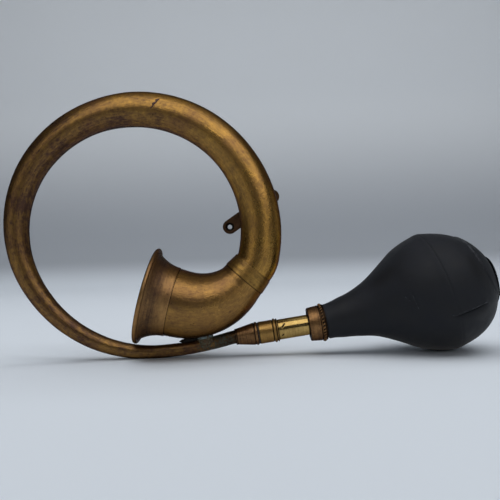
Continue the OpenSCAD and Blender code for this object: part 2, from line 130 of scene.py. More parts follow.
def outside_d(distance):
    """Outside diameter of the horn at a distance along it: pipe, quick taper, slow taper, bell."""
    if distance > bell_start:
        share = (distance - bell_start) / (horn_length - bell_start)
        return SOCKET_D + (SEAM_D - SOCKET_D) * math.sin(math.pi / 2 * share)
    stops = [0, pipe_length, crown_knee, coil_length - half_band, bell_start]
    return float(np.interp(distance, stops, [PIPE_D, PIPE_D, CROWN_D, THROAT_D, SOCKET_D]))


def in_frame(place):
    """The point of a place on the horn's centre line, in the frame's metres."""
    return pipe_end + Vector((place[0], 0, place[1])) * MM


def hump(distance, reach):
    """A smooth hump that is 1 in its middle and fades over a reach to each side."""
    return np.exp(-(distance / reach) ** 2)


def linear(colour):
    """An sRGB hex colour as the linear values that a node takes."""
    values = [int(colour[i:i + 2], 16) / 255 for i in (1, 3, 5)]
    return tuple(v / 12.92 if v <= 0.04045 else ((v + 0.055) / 1.055) ** 2.4 for v in values) + (1.0,)


def feed(node, inputs):
    """Sets a node's inputs. An input is a value, or a socket that is linked to it."""
    for key, value in inputs.items():
        if isinstance(value, bpy.types.NodeSocket):
            node.id_data.links.new(value, node.inputs[key])
        else:
            node.inputs[key].default_value = value


def add(tree, kind, inputs=None, **settings):
    """Adds a node, named by its type without the family, with its settings and inputs. Gives its outputs."""
    families = ("ShaderNode", "GeometryNode", "FunctionNode", "Node")
    made = tree.nodes.new(next(family + kind for family in families if hasattr(bpy.types, family + kind)))
    for name, value in settings.items():
        setattr(made, name, value)
    feed(made, inputs or {})
    return made.outputs


def new_material(name, *patterns):
    """A new material, its tree and shader, and its noise patterns of a size in mm, a detail and a roughness.

    A pattern lies in Object coordinates, or along the attribute that it names.
    """
    material = bpy.data.materials.new(name)
    material.use_nodes = True
    tree = material.node_tree
    place = add(tree, "TexCoord")["Object"]
    noises = []
    for size, detail, rough, *along in patterns:
        where = add(tree, "Attribute", attribute_name=along[0])["Vector"] if along else place
        noises.append(add(tree, "TexNoise", {
            "Vector": where, "Scale": 1 / (size * MM), "Detail": detail, "Roughness": rough})["Fac"])
    return material, tree, tree.nodes["Principled BSDF"], *noises


def layered(tree, colour, layers, change="LINEAR"):
    """A colour under layers of others, as a socket, and how much each layer covers.

    A layer is its pattern, the values where it starts and is full, the most that it covers, and its colour.
    """
    tone = linear(colour)
    shares = []
    for pattern, start, full, cover, over in layers:
        shares.append(add(tree, "MapRange", {0: pattern, 1: start, 2: full, 4: cover},
                          interpolation_type=change)[0])
        tone = add(tree, "Mix", {0: shares[-1], 6: tone, 7: linear(over)}, data_type="RGBA")[2]
    return tone, shares


def aged_brass(name, rubbed, browned, gloss):
    """Sheet brass gone brown with age, as a material.

    It gives the eye a dull warm gleam: gold where it is rubbed along the marks of its making, brown in
    soft patches, dark specks of tarnish, grime in its seams and verdigris where flux was left on it.
    The wear mark that a piece gives it is partly real rubbing and partly painted highlight and painted shade.
    """
    material, tree, shader, patch, streak, blush, speck, mottle = new_material(
        name, (18, 5.0, 0.62), (1.2, 3.0, 0.55, "drawn"), (30, 3.0, 0.5), (1.5, 2.0, 0.5), (3.2, 4.0, 0.7))
    grime, green, wear_and_shading = (add(tree, "Attribute", attribute_name=mark)["Fac"]
                          for mark in ("grime", "green", "wear_and_shading"))
    worn_and_shaded = add(tree, "Mix", {0: 0.47, 2: mottle, 3: streak})[0]
    worn_and_shaded = add(tree, "Mix", {0: 0.35, 2: worn_and_shaded, 3: patch})[0]
    worn_and_shaded = add(tree, "Math", {0: worn_and_shaded, 1: wear_and_shading}, operation="ADD")[0]
    dirt = add(tree, "Math", {0: grime, 1: patch, 2: grime}, operation="MULTIPLY_ADD")[0]
    bloom = add(tree, "Math", {0: green, 1: speck}, operation="MULTIPLY")[0]
    tone, shares = layered(tree, browned, [
        (worn_and_shaded, 0.35, 0.71, 1.0, rubbed),
        (blush, 0.50, 0.75, 0.5, "#5e4030"),
        (speck, 0.66, 0.76, 0.65, "#1d140c"),
        (dirt, 0.0, 1.0, 1.0, "#171009"),
        (bloom, 0.30, 0.46, 1.0, "#3f443a"),
    ])
    rubbed_and_lit_share, bloom = shares[0], shares[-1]
    bare = add(tree, "MapRange", {0: rubbed_and_lit_share, 3: 0.85, 4: 1.0})[0]
    bare = add(tree, "Math", {0: bare, 1: bloom}, operation="SUBTRACT", use_clamp=True)[0]
    dull = add(tree, "MapRange", {0: rubbed_and_lit_share, 3: gloss + 0.15, 4: gloss})[0]
    dull = add(tree, "Math", {0: bloom, 1: 0.4, 2: dull}, operation="MULTIPLY_ADD")[0]
    relief = add(tree, "Mix", {0: 0.70, 2: streak, 3: mottle})[0]
    bump = add(tree, "Bump", {"Strength": 0.8, "Distance": 1.9 * gloss * MM, "Height": relief})[0]
    feed(shader, {
        "Base Color": tone, "Metallic": bare, "Roughness": dull, "Normal": bump, "Coat Weight": 0.07,
        "Coat Roughness": 0.4, "Specular Tint": linear("#54546c")})
    return material


def node_tool(name, inputs, output):
    """A new Geometry Nodes tree with its inputs' identifiers, the tree alone, and its inputs as sockets."""
    tree = bpy.data.node_groups.new(name, "GeometryNodeTree")
    keys = {}
    for label, kind in inputs.items():
        socket = tree.interface.new_socket(label, in_out="INPUT", socket_type="NodeSocket" + kind)
        keys[label] = socket.identifier
    tree.interface.new_socket(output, in_out="OUTPUT", socket_type="NodeSocketGeometry")
    return (tree, keys), tree, add(tree, "GroupInput")


def close_tool(tree, form, metal):
    """Ends a tree: its form is made smooth and real, takes a metal and goes out."""
    form = add(tree, "SetShadeSmooth", {"Geometry": form})[0]
    form = add(tree, "RealizeInstances", {"Geometry": form})[0]
    form = add(tree, "SetMaterial", {"Geometry": form, "Material": metal})[0]
    add(tree, "GroupOutput", {0: form})


# The tree that sweeps a round tube along a path, with soft dents from years of knocks
tube_tool, tree, given = node_tool("wound_tube", {
    "Path": "Geometry", "Sides": "Int", "Dent depth": "Float", "Dents a metre": "Float", "Seed": "Float",
    "Metal": "Material"}, "Tube")
tube_r, gone, inside, wear_and_shading = (add(tree, "InputNamedAttribute", {"Name": label})[0]
                              for label in ("tube_r", "gone", "inside", "wear_and_shading"))
around = add(tree, "InputNamedAttribute", {"Name": "round"}, data_type="FLOAT_VECTOR")[0]
place = add(tree, "InputPosition")[0]
path = add(tree, "MeshToCurve", {"Mesh": given["Path"]})[0]
circle = add(tree, "CurvePrimitiveCircle", {"Resolution": given["Sides"], "Radius": 1.0})[0]
circle = add(tree, "StoreNamedAttribute",
             {"Geometry": circle, "Name": "round", "Value": place}, data_type="FLOAT_VECTOR")[0]
tube = add(tree, "CurveToMesh", {"Curve": path, "Profile Curve": circle, "Scale": tube_r})[0]
stretch = add(tree, "CombineXYZ", {"Z": gone})[0]
drawn = add(tree, "VectorMath", {0: around, 1: tube_r, 2: stretch}, operation="MULTIPLY_ADD")[0]
tube = add(tree, "StoreNamedAttribute",
           {"Geometry": tube, "Name": "drawn", "Value": drawn}, data_type="FLOAT_VECTOR")[0]
# Hands rub the outside of a bend, so its inside wears less. The browner inside is partly painted shade.
inner = add(tree, "SeparateXYZ", {0: around})["Y"]
inner = add(tree, "Math", {0: inner, 1: 0.0}, operation="MINIMUM")[0]
wear_and_shading = add(tree, "Math", {0: inner, 1: inside, 2: wear_and_shading}, operation="MULTIPLY_ADD")[0]
tube = add(tree, "StoreNamedAttribute", {"Geometry": tube, "Name": "wear_and_shading", "Value": wear_and_shading})[0]
dents = add(tree, "TexNoise", {"Vector": place, "W": given["Seed"], "Scale": given["Dents a metre"],
                               "Detail": 1.0}, noise_dimensions="4D")[0]
depth = add(tree, "Math", {0: dents, 1: 0.5}, operation="SUBTRACT")[0]
depth = add(tree, "Math", {0: depth, 1: given["Dent depth"]}, operation="MULTIPLY")[0]
normal = add(tree, "InputNormal")[0]
shift = add(tree, "VectorMath", {0: normal, "Scale": depth}, operation="SCALE")[0]
tube = add(tree, "SetPosition", {"Geometry": tube, "Offset": shift})[0]
close_tool(tree, tube, given["Metal"])


def new_piece(name, mesh):
    """An object in the scene that holds a mesh."""
    piece = bpy.data.objects.new(name, mesh)
    bpy.context.scene.collection.objects.link(piece)
    return piece


def plain_mesh(piece):
    """A piece and its modifiers as a plain mesh."""
    return bpy.data.meshes.new_from_object(piece.evaluated_get(bpy.context.evaluated_depsgraph_get()))


def keep_result(piece):
    """Keeps what a piece's modifiers make of it, and removes them."""
    result = plain_mesh(piece)
    piece.modifiers.clear()
    piece.data = result


def use_tool(piece, tool, values):
    """Runs a Geometry Nodes tree on a piece with values for its inputs, and keeps the result."""
    tree, keys = tool
    work = piece.modifiers.new(tree.name, "NODES")
    work.node_group = tree
    for label, value in values.items():
        work[keys[label]] = value
    keep_result(piece)


def turn_outwards(mesh):
    """Merges doubled points and makes the faces point outwards."""
    skin = bmesh.new()
    skin.from_mesh(mesh)
    bmesh.ops.remove_doubles(skin, verts=skin.verts, dist=1e-6)
    bmesh.ops.recalc_face_normals(skin, faces=skin.faces)
    skin.to_mesh(mesh)
    skin.free()


def wound_tube(name, places, marks, sides, metal):
    """A sheet tube along places, with the strength of each named mark at each place."""
    mesh = bpy.data.meshes.new(name)
    points = [in_frame(place) for place in places]
    mesh.from_pydata(points, [(i, i + 1) for i in range(len(points) - 1)], [])
    values = {"tube_r": [outside_d(place[3]) / 2 * MM for place in places],
              "gone": [place[3] * MARK_STRETCH * MM for place in places], **marks}
    for mark, strengths in values.items():
        mesh.attributes.new(mark, "FLOAT", "POINT").data.foreach_set("value", strengths)
    piece = new_piece(name, mesh)
    use_tool(piece, tube_tool, {
        "Sides": sides, "Dent depth": DENT_DEPTH * MM, "Dents a metre": 1 / (DENT_SIZE * MM),
        "Seed": DENT_SEED, "Metal": metal})
    turn_outwards(piece.data)
    wall = piece.modifiers.new("wall", "SOLIDIFY")
    wall.thickness = SHEET * MM
    wall.offset = -1.0
    keep_result(piece)
    return piece


horn_brass = aged_brass("aged_brass_sheet", "#a8803d", "#473329", 0.24)
coil_gone = np.array([place[3] for place in coil_places])
# The pipe is black from old flux between the ferrule and the solder, and green on both sides of the solder
FLUX_STOPS = [8, 24, 32]
FLUX_GRIME = [0.5, 0.42, 0.0]
GREEN_STOPS = [8, 20, 42, 50]
GREEN = [0.55, 0.75, 0.7, 0.0]
BAND_DIRT = 0.4
LINE_REACH = 0.5
# The coil is rubbed gold towards the bell and left browner at the pipe. The gold rising towards its upper
# right end is partly a painted highlight, and the browner inside of its bends partly painted shade.
wear_stops = [pipe_length, crown_start, crown_knee, coil_length]
COIL_WEAR_AND_HIGHLIGHT = [-0.07, -0.05, 0.01, 0.15]
INSIDE_WEAR_AND_SHADE = [0.0, 0.07, 0.14, 0.03]
coil = wound_tube("wound_coil", coil_places, {
    "grime": np.maximum(BAND_DIRT * hump(coil_gone - coil_length + half_band, LINE_REACH),
                        np.interp(coil_gone, FLUX_STOPS, FLUX_GRIME)),
    "green": np.interp(coil_gone, GREEN_STOPS, GREEN),
    "wear_and_shading": np.interp(coil_gone, wear_stops, COIL_WEAR_AND_HIGHLIGHT),
    "inside": np.interp(coil_gone, wear_stops, INSIDE_WEAR_AND_SHADE),
}, COIL_SIDES, horn_brass)
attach(coil, "horn")
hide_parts("coil_tube")

# Joint band
# A strip of thinner brass wrapped over the butt joint between coil and bell, and soldered there.
# Its edges stand a little proud, and its lower edge holds a line of dirt.
BAND_T = 0.5
BAND_EASE = 0.2
SOLDER_GAP = 0.1
LATHE_STEPS = 144
LATHE_STRETCH = 0.05
LATHE_CREASE = math.radians(50)
DIRT_REACH = 0.35
MOST_EASE = 0.45


def rounded(profile, radius, steps=4):
    """A closed outline with each corner eased over a radius, or over its own third value where it has one."""
    outline = []
    for i, corner in enumerate(profile):
        here = Vector(corner[:2])
        before = Vector(profile[i - 1][:2]) - here
        after = Vector(profile[(i + 1) % len(profile)][:2]) - here
        wanted = corner[2] if len(corner) > 2 else radius
        reach = min(wanted, before.length * MOST_EASE, after.length * MOST_EASE)
        if reach < 1e-4:
            outline.append(tuple(here))
            continue
        start = here + before.normalized() * reach
        end = here + after.normalized() * reach
        for step in range(steps + 1):
            t = step / steps
            outline.append(tuple(start * (1 - t) ** 2 + here * 2 * t * (1 - t) + end * t ** 2))
    return outline


def with_shoulders(profile):
    """A closed outline with a point more beside each end of a long edge, so that dirt stays at its ends."""
    shouldered = []
    for here, there in zip(profile, profile[1:] + profile[:1]):
        length = math.dist(here, there)
        shares = [0.0]
        if length > 6 * DIRT_REACH:
            shares += [2 * DIRT_REACH / length, 1 - 2 * DIRT_REACH / length]
        shouldered += [tuple(a + (b - a) * share for a, b in zip(here, there)) for share in shares]
    return shouldered


def ring_faces(rings, sides, closed=True):
    """Faces between rings of points. The last ring meets the first where they are closed."""
    faces = []
    for ring in range(rings if closed else rings - 1):
        here, there = ring * sides, (ring + 1) % rings * sides
        for step in range(sides):
            beside = (step + 1) % sides
            faces.append((here + step, here + beside, there + beside, there + step))
    return faces


def shell(name, points, faces, marks, material, crease=None):
    """A smooth closed piece, with marks of one or three values a point, and sharp edges past a crease."""
    mesh = bpy.data.meshes.new(name)
    mesh.from_pydata(points, [], faces)
    for mark, values in marks.items():
        wide = len(values) > len(points)
        layer = mesh.attributes.new(mark, "FLOAT_VECTOR" if wide else "FLOAT", "POINT")
        layer.data.foreach_set("vector" if wide else "value", values)
    turn_outwards(mesh)
    mesh.shade_smooth()
    if crease:
        mesh.set_sharp_from_angle(angle=crease)
    mesh.materials.append(material)
    return new_piece(name, mesh)


def turned(name, profile, start, axis, metal, dirt=()):
    """A piece turned from a closed outline of (radius, height along its axis) in mm, with rings of dirt."""
    profile = with_shoulders(profile)
    axis = axis.normalized()
    side = Vector((0, 1, 0)) if abs(axis.y) < 0.9 else Vector((1, 0, 0))
    up = axis.cross(side)
    points, drawn, grime = [], [], []
    gone = 0.0
    for i, (radius, height) in enumerate(profile):
        gone += math.dist(profile[i - 1], profile[i]) if i else 0.0
        lap = radius * LATHE_STRETCH * MM
        for step in range(LATHE_STEPS):
            angle = 2 * math.pi * step / LATHE_STEPS
            out = up * math.cos(angle) + side * math.sin(angle)
            points.append(start + (axis * height + out * radius) * MM)
            drawn += [gone * MM, lap * math.cos(angle), lap * math.sin(angle)]
        grime += [max((hump(height - at, DIRT_REACH) for at in dirt), default=0.0)] * LATHE_STEPS
    faces = ring_faces(len(profile), LATHE_STEPS)
    return shell(name, points, faces, {"drawn": drawn, "grime": grime}, metal, LATHE_CREASE)


def heading_axis(place):
    """The direction of the horn's centre line at a place."""
    return Vector((math.cos(place[2]), 0, math.sin(place[2])))


band_brass = aged_brass("aged_brass_strip", "#ae8743", "#493520", 0.26)
band_front = outside_d(coil_length - half_band) / 2 + SOLDER_GAP
band_back = outside_d(coil_length + half_band) / 2 + SOLDER_GAP
joint_place = coil_places[-1]
band = turned("joint_band_strip", rounded([
    (band_front, -half_band),
    (band_front + BAND_T, -half_band),
    (band_back + BAND_T, half_band),
    (band_back, half_band),
], BAND_EASE), in_frame(joint_place), heading_axis(joint_place), band_brass)
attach(band, "horn")
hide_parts("joint_band")

# Bell body
# The curved body of the bell, hammered from sheet and brazed, butted to the coil under the band.
# It widens fast behind the band and then runs almost straight into the flare's seam.
BELL_SIDES = 112
BELL_WEAR = 0.08
FLARE_LAP = 3.0
SEAM_DIRT = 0.8
SEAM_REACH = 0.45
bell_brass = aged_brass("satin_brass_sheet", "#98733c", "#473329", 0.25)
bell_gone = np.array([place[3] for place in bell_places])
bell = wound_tube("bell_body", bell_places, {
    "grime": np.maximum(hump(bell_gone - coil_length - half_band, LINE_REACH),
                        SEAM_DIRT * hump(bell_gone - horn_length + FLARE_LAP, SEAM_REACH)),
    "wear_and_shading": np.full(len(bell_gone), BELL_WEAR),
}, BELL_SIDES, bell_brass)
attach(bell, "horn")
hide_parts("bell_bend")

# Bell flare
# Spun from a brass disc on a lathe, so its marks run round it. Its foot is lapped over the bell's body
# and soldered, and its lip is rolled back over an iron wire.
MOUTH_D = 85.0
FLARE_LENGTH = 19.3
FLARE_CURL = math.radians(40)
WIRE_D = 2.2
WIRE_GAP = 0.05
ROLL_TURN = math.radians(280)
ROLL_STEPS = 24
WALL_STEPS = 24
# The foot's edge is filed thin, given as (distance inside the foot, distance from the edge)
FOOT_EDGE = [(0.55, 0.0), (0.3, 0.5), (0.1, 1.4)]
# The foot and the lip are rubbed gold, and the hollow between them stays brown. The gold of foot and lip is
# partly a painted highlight, and the brown hollow partly painted shade.
FLARE_STOPS = [-FLARE_LAP, 3, 10, 16, FLARE_LENGTH]
FLARE_WEAR_AND_SHADING = [0.20, 0.12, -0.10, -0.02, 0.14]
rim_r = WIRE_D / 2 + WIRE_GAP + SHEET
foot_r = SEAM_D / 2 + SOLDER_GAP + SHEET
lip_r = MOUTH_D / 2 - rim_r
flare_slope = math.atan2(lip_r - foot_r, FLARE_LENGTH) - FLARE_CURL / 2
flare_arc = math.hypot(lip_r - foot_r, FLARE_LENGTH) / (2 * math.sin(FLARE_CURL / 2))


def flare_wall(inset):
    """One arc of the flare's wall, from its foot to its lip, at an inset from the outside."""
    angles = np.linspace(flare_slope, flare_slope + FLARE_CURL, WALL_STEPS + 1)
    radii = foot_r + flare_arc * math.cos(flare_slope) - (flare_arc + inset) * np.cos(angles)
    return list(zip(radii, (flare_arc + inset) * np.sin(angles) - flare_arc * math.sin(flare_slope)))


# The roll leaves the inner wall at the lip, goes round over the mouth and ends against the outer wall
roll_start = math.pi - flare_slope - FLARE_CURL
roll = [(lip_r + rim_r * math.cos(angle), FLARE_LENGTH + rim_r * math.sin(angle))
        for angle in np.linspace(roll_start, roll_start - ROLL_TURN, ROLL_STEPS + 1)]
flare_profile = ([(foot_r - inset, gone - FLARE_LAP) for inset, gone in FOOT_EDGE]
                 + flare_wall(0)[:-3] + roll[::-1] + flare_wall(SHEET)[:-2][::-1]
                 + [(foot_r - SHEET, -FLARE_LAP)])
flare_start = in_frame(bell_places[-1])
flare_axis = heading_axis(bell_places[-1])
flare_brass = aged_brass("aged_brass_spun", "#8f6d43", "#443226", 0.33)
flare = turned("spun_flare", flare_profile, flare_start, flare_axis, flare_brass)
heights = [(point.co - flare_start).dot(flare_axis) / MM for point in flare.data.vertices]
flare_rub_and_shading = flare.data.attributes.new("wear_and_shading", "FLOAT", "POINT").data
flare_rub_and_shading.foreach_set("value", np.interp(heights, FLARE_STOPS, FLARE_WEAR_AND_SHADING))
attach(flare, "horn")
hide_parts("bell_flare")

# Rim wire
# Iron wire that the lip is rolled over, to keep the mouth round. It is shut inside the roll, so its CAD
# solid stays and only gets a finish.


def grained(name, light, dark, grain, metallic, gloss):
    """A plain stuff with a grain of a size in mm in two tones, as a material.

    It gives the eye a slightly uneven tone and gloss, as unpolished metal, leather, cork and lacquer have.
    """
    material, tree, shader, grains = new_material(name, (grain, 5.0, 0.6))
    tone, shares = layered(tree, dark, [(grains, 0.35, 0.65, 1.0, light)])
    dull = add(tree, "MapRange", {0: shares[0], 3: gloss + 0.15, 4: gloss})[0]
    bump = add(tree, "Bump", {"Strength": 0.3, "Distance": 0.1 * MM, "Height": grains})[0]
    feed(shader, {
        "Base Color": tone, "Metallic": metallic, "Roughness": dull, "Normal": bump})
    return material


def dress(node, material):
    """Gives a CAD node that stays as it is a finish."""
    piece = frame["nodes"][node]
    piece.data.materials.clear()
    piece.data.materials.append(material)


dress("rim_wire", grained("drawn_iron_wire", "#7a7672", "#4a4642", 0.8, 1.0, 0.45))

# Lacquer blister
# A broken blister of old dark red lacquer on the crown, from a finish that has worn off elsewhere.
# Made as a soft bead along a crooked line, half sunk in the tube.
BLISTER_SUNK = 0.1
# A point is (distance along the horn, degrees round from the top, radius)
BLISTER = [(443.8, 57.8, 0.6), (442.3, 65.7, 1.25), (442.9, 72.1, 0.8), (440.2, 79.6, 1.3),
           (440.7, 87.0, 0.7), (437.6, 95.2, 0.5)]


def mesh_of_curve(name, lines, closed, material, **settings):
    """A mesh with a material, from a curve with its settings along lines of points and radii."""
    curve = bpy.data.curves.new(name, "CURVE")
    for setting, value in settings.items():
        setattr(curve, setting, value)
    for line in lines:
        run = curve.splines.new("POLY")
        run.points.add(len(line) - 1)
        for point, (spot, radius) in zip(run.points, line):
            point.co = (*spot, 1)
            point.radius = radius
        run.use_cyclic_u = closed
    holder = new_piece(name + "_curve", curve)
    mesh = plain_mesh(holder)
    bpy.data.objects.remove(holder)
    mesh.name = name
    turn_outwards(mesh)
    mesh.shade_smooth()
    mesh.materials.clear()
    mesh.materials.append(material)
    return mesh


def coil_place(distance):
    """The first place on the coil at a distance along it."""
    return next(place for place in coil_places if place[3] >= distance)


blister_line = []
for distance, degrees, radius in BLISTER:
    place = coil_place(distance)
    along = heading_axis(place)
    turn = math.radians(degrees)
    out = Vector((-along.z, 0, along.x)) * math.cos(turn) - Vector((0, math.sin(turn), 0))
    blister_line.append((in_frame(place) + out * (outside_d(place[3]) / 2 - BLISTER_SUNK) * MM, radius))
lacquer = grained("old_red_lacquer", "#653729", "#240f09", 1.4, 0.0, 0.55)
blister = new_piece("lacquer_blister", mesh_of_curve(
    "lacquer_blister", [blister_line], False, lacquer, dimensions="3D", bevel_depth=MM, bevel_resolution=3,
    use_fill_caps=True))
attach(blister, "horn")

# Solder bridge
# A lump of soft solder run between the lead pipe and the bell to tie them together. It has gone grey and
# grown a blue-green crust. A flat near-black web along the gap beside it is painted shade in that gap.
SOLDER_ROUGH = 0.16
# A lump is its distance along the pipe, rise, half sizes, bluntness, fineness, noise scale and noise place
SOLDER_LUMP = (34.0, 2.6, (7.2, 6.8, 7.0), 0.55, 6, 2.2, (4, 1, 7))
# The second is a flat web along the gap between pipe and bell, coloured near-black as painted shade there
SHADE_WEB = (48.0, 6.9, (8.5, 2.6, 2.0), 1.0, 5, 3.0, (2, 6, 3))


def solder_and_shade_web():
    """Soft solder under an old crust of flux and verdigris, as a material.

    It gives the eye a rough dull speckle of olive, brown and green, pale blue-grey where it meets the bell,
    and near-black on the web along the gap, which is painted shade.
    """
    material, tree, shader, grains, flecks = new_material(
        "verdigris_solder_and_shade_web", (2.6, 4.0, 0.65), (1.5, 3.0, 0.6))
    crust_and_shade = add(tree, "Attribute", attribute_name="crust_and_shade")["Fac"]
    pale = add(tree, "Math", {0: crust_and_shade, 1: grains}, operation="MULTIPLY")[0]
    tone = layered(tree, "#5c4630", [
        (grains, 0.42, 0.60, 1.0, "#514c39"),
        (flecks, 0.54, 0.66, 0.8, "#5d6a58"),
        (flecks, 0.44, 0.36, 0.8, "#1f2019"),
        (pale, 0.22, 0.40, 0.9, "#93acb2"),
        # A crust value below zero marks the web, painted near-black as shade
        (crust_and_shade, 0.0, -0.5, 1.0, "#140f0b"),
    ])[0]
    bump = add(tree, "Bump", {"Strength": 0.8, "Distance": 0.5 * MM, "Height": flecks})[0]
    feed(shader, {
        "Base Color": tone, "Roughness": 0.75, "Specular IOR Level": 0.3, "Normal": bump})
    return material


lump = bmesh.new()
crust_and_shade = lump.verts.layers.float.new("crust_and_shade")
for on_shade_web, (at, rise, half, blunt, fineness, waves, noise_place) in enumerate((SOLDER_LUMP, SHADE_WEB)):
    lump_place = coil_place(at)
    along = heading_axis(lump_place)
    up = Vector((-along.z, 0, along.x)) * (-1 if along.x < 0 else 1)
    middle = in_frame(lump_place) + up * rise * MM
    for point in bmesh.ops.create_icosphere(lump, subdivisions=fineness, radius=1.0)["verts"]:
        way = point.co.copy()
        # The web's points take a crust value of -1, which paints them near-black as shade
        point[crust_and_shade] = -1.0 if on_shade_web else max(0.0, way.z)
        bulge = 1 + SOLDER_ROUGH * noise.fractal(way * waves + Vector(noise_place), 0.8, 2.0, 4)
        length = math.copysign(abs(way.x) ** blunt, way.x) * half[0]
        point.co = middle + (along * length + Vector((0, way.y * half[1], 0))
                             + up * way.z * half[2]) * bulge * MM
bridge_mesh = bpy.data.meshes.new("solder_lump_and_shade_web")
lump.to_mesh(bridge_mesh)
lump.free()
bridge_mesh.shade_smooth()
bridge_mesh.materials.append(solder_and_shade_web())
bridge = new_piece("solder_lump_and_shade_web", bridge_mesh)
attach(bridge, "horn")
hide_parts("pipe_bridge")

# Bracket strap
# A flat brass strap with round ends, soldered on a saddle behind the coil, and drilled and countersunk for a
# bolt at each end. Its edges are eased. It is browner than the horn, partly because nobody rubs it and partly
# as painted shade behind the coil.
HOLE_PITCH = 44.5
HOLE_D = 4.6
HOLE_DIRT = 0.3
STRAP_W = 12.8
STRAP_T = 2.2
STRAP_ANGLE = math.radians(34)
STRAP_EASE = 0.35
STRAP_TAIL = 2.4
STRAP_CREASE = math.radians(40)
END_STEPS = 32
HOLE_STEPS = 44
HOLE_SWEEP = -360 * HOLE_STEPS / (HOLE_STEPS + 1)
SINK_D = 8.4
SINK_LAP = 0.1
SINK_BACK = 0.2
SINK_DEPTHS = (1.4, 1.0, 0.6, STRAP_EASE)
# Darker than the horn's brass, partly from age and partly as painted shade behind the coil
shaded_bracket_brass = aged_brass("brown_brass_plate", "#523b26", "#2b1f15", 0.45)


def arc(x, radius, start, end, steps):
    """Points of an arc about a middle on the strap's centre line, in degrees, as a line of a curve."""
    angles = [math.radians(start + (end - start) * step / steps) for step in range(steps + 1)]
    return [(((x + radius * math.cos(a)) * MM, radius * math.sin(a) * MM, 0), 1.0) for a in angles]


end_r = STRAP_W / 2 - STRAP_EASE
strap_outline = (arc(HOLE_PITCH / 2 + STRAP_TAIL, end_r, -90, 90, END_STEPS)
                 + arc(-HOLE_PITCH / 2, end_r, 90, 270, END_STEPS))
holes = [arc(side * HOLE_PITCH / 2, SINK_D / 2, 0, HOLE_SWEEP, HOLE_STEPS) for side in (-1, 1)]
strap_mesh = mesh_of_curve(
    "strap_plate", [strap_outline, *holes], True, shaded_bracket_brass, dimensions="2D", fill_mode="BOTH",
    extrude=(STRAP_T / 2 - STRAP_EASE) * MM, bevel_depth=STRAP_EASE * MM, bevel_resolution=3)
strap_mesh.transform(Matrix.Translation((0, -STRAP_T / 2 * MM, 0)) @ Matrix.Rotation(-STRAP_ANGLE, 4, "Y")
                     @ Matrix.Rotation(math.radians(90), 4, "X"))
strap_mesh.set_sharp_from_angle(angle=STRAP_CREASE)
strap = new_piece("strap_plate", strap_mesh)
strap_way = Vector((math.cos(STRAP_ANGLE), 0, math.sin(STRAP_ANGLE)))
for side in (-1, 1):
    sink = turned("countersink", [
        (HOLE_D / 2 - HOLE_DIRT, SINK_BACK),
        (HOLE_D / 2 - HOLE_DIRT, STRAP_T - SINK_DEPTHS[0]),
        (SINK_D / 2 + SINK_LAP, STRAP_T - STRAP_EASE),
        (SINK_D / 2 + SINK_LAP, SINK_BACK),
    ], strap_way * side * HOLE_PITCH / 2 * MM, Vector((0, -1, 0)), shaded_bracket_brass,
        [STRAP_T - depth for depth in SINK_DEPTHS])
    with bpy.context.temp_override(active_object=strap, selected_editable_objects=[strap, sink]):
        bpy.ops.object.join()
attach(strap, "horn")
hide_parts("bracket_strap")

# Bracket saddle
# A block of brass filed to the round of the coil and sweated with solder between it and the strap.
# Its CAD solid stays and takes the strap's finish, with its painted shade.
dress("bracket_saddle", shaded_bracket_brass)

# Pipe ferrule
# A coppery brass cone, turned and soldered on the pipe's end, with a thin bead at its wide end. The spigot
# of the sleeve turns inside it.
FERRULE_LENGTH = 20.0
FERRULE_D = 19.2
FITTING_T = 0.7
FITTING_EASE = 0.1
PIPE_SEAT = 9.0
SPIGOT_LENGTH = 6.0
PUSH_FIT = 0.05
PART_GAP = 0.3
FERRULE_LIP = 0.5
LIP_EASE = 0.4
CONE_EASE = 3.0
RING_HALF = 1.15
RING_PROUD = 0.5
GROOVE = 0.3


def bead(radius, height, proud, half, steps=12):
    """A round bead on a turned piece, as plain corners of its outline from its low to its high side."""
    turns = [math.pi * step / steps for step in range(steps + 1)]
    return [(radius + proud * math.sin(turn), height - half * math.cos(turn), 0.0) for turn in turns]


ferrule_brass = aged_brass("copper_red_brass", "#987147", "#3a291d", 0.25)
pipe_bore = PIPE_D / 2 + SOLDER_GAP
mouth_bore = FERRULE_D / 2 - FITTING_T
cone_end = FERRULE_LENGTH - SPIGOT_LENGTH - PART_GAP
ferrule_start = pipe_end - fitting_axis * PIPE_SEAT * MM
front_r = pipe_bore + FITTING_T + FERRULE_LIP
ring_at = FERRULE_LENGTH - RING_HALF - PART_GAP
groove_r = FERRULE_D / 2 - GROOVE
ferrule = turned("turned_ferrule", rounded([
    (pipe_bore, 0),
    (front_r, 0, LIP_EASE),
    (front_r, 2 * FERRULE_LIP, LIP_EASE),
    (pipe_bore + FITTING_T + LIP_EASE, 3 * FERRULE_LIP),
    (mouth_bore + PART_GAP, cone_end, CONE_EASE),
    (FERRULE_D / 2, ring_at - 1.6 * RING_HALF),
    (groove_r, ring_at - 1.2 * RING_HALF),
    *bead(groove_r, ring_at, GROOVE + RING_PROUD, RING_HALF),
    (groove_r, FERRULE_LENGTH),
    (mouth_bore, FERRULE_LENGTH),
    (mouth_bore, cone_end),
    (pipe_bore, PIPE_SEAT),
], FITTING_EASE), ferrule_start, fitting_axis, ferrule_brass,
    (0, FERRULE_LIP, 3 * FERRULE_LIP, ring_at - 1.3 * RING_HALF, FERRULE_LENGTH))
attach(ferrule, "horn")
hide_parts("pipe_ferrule")

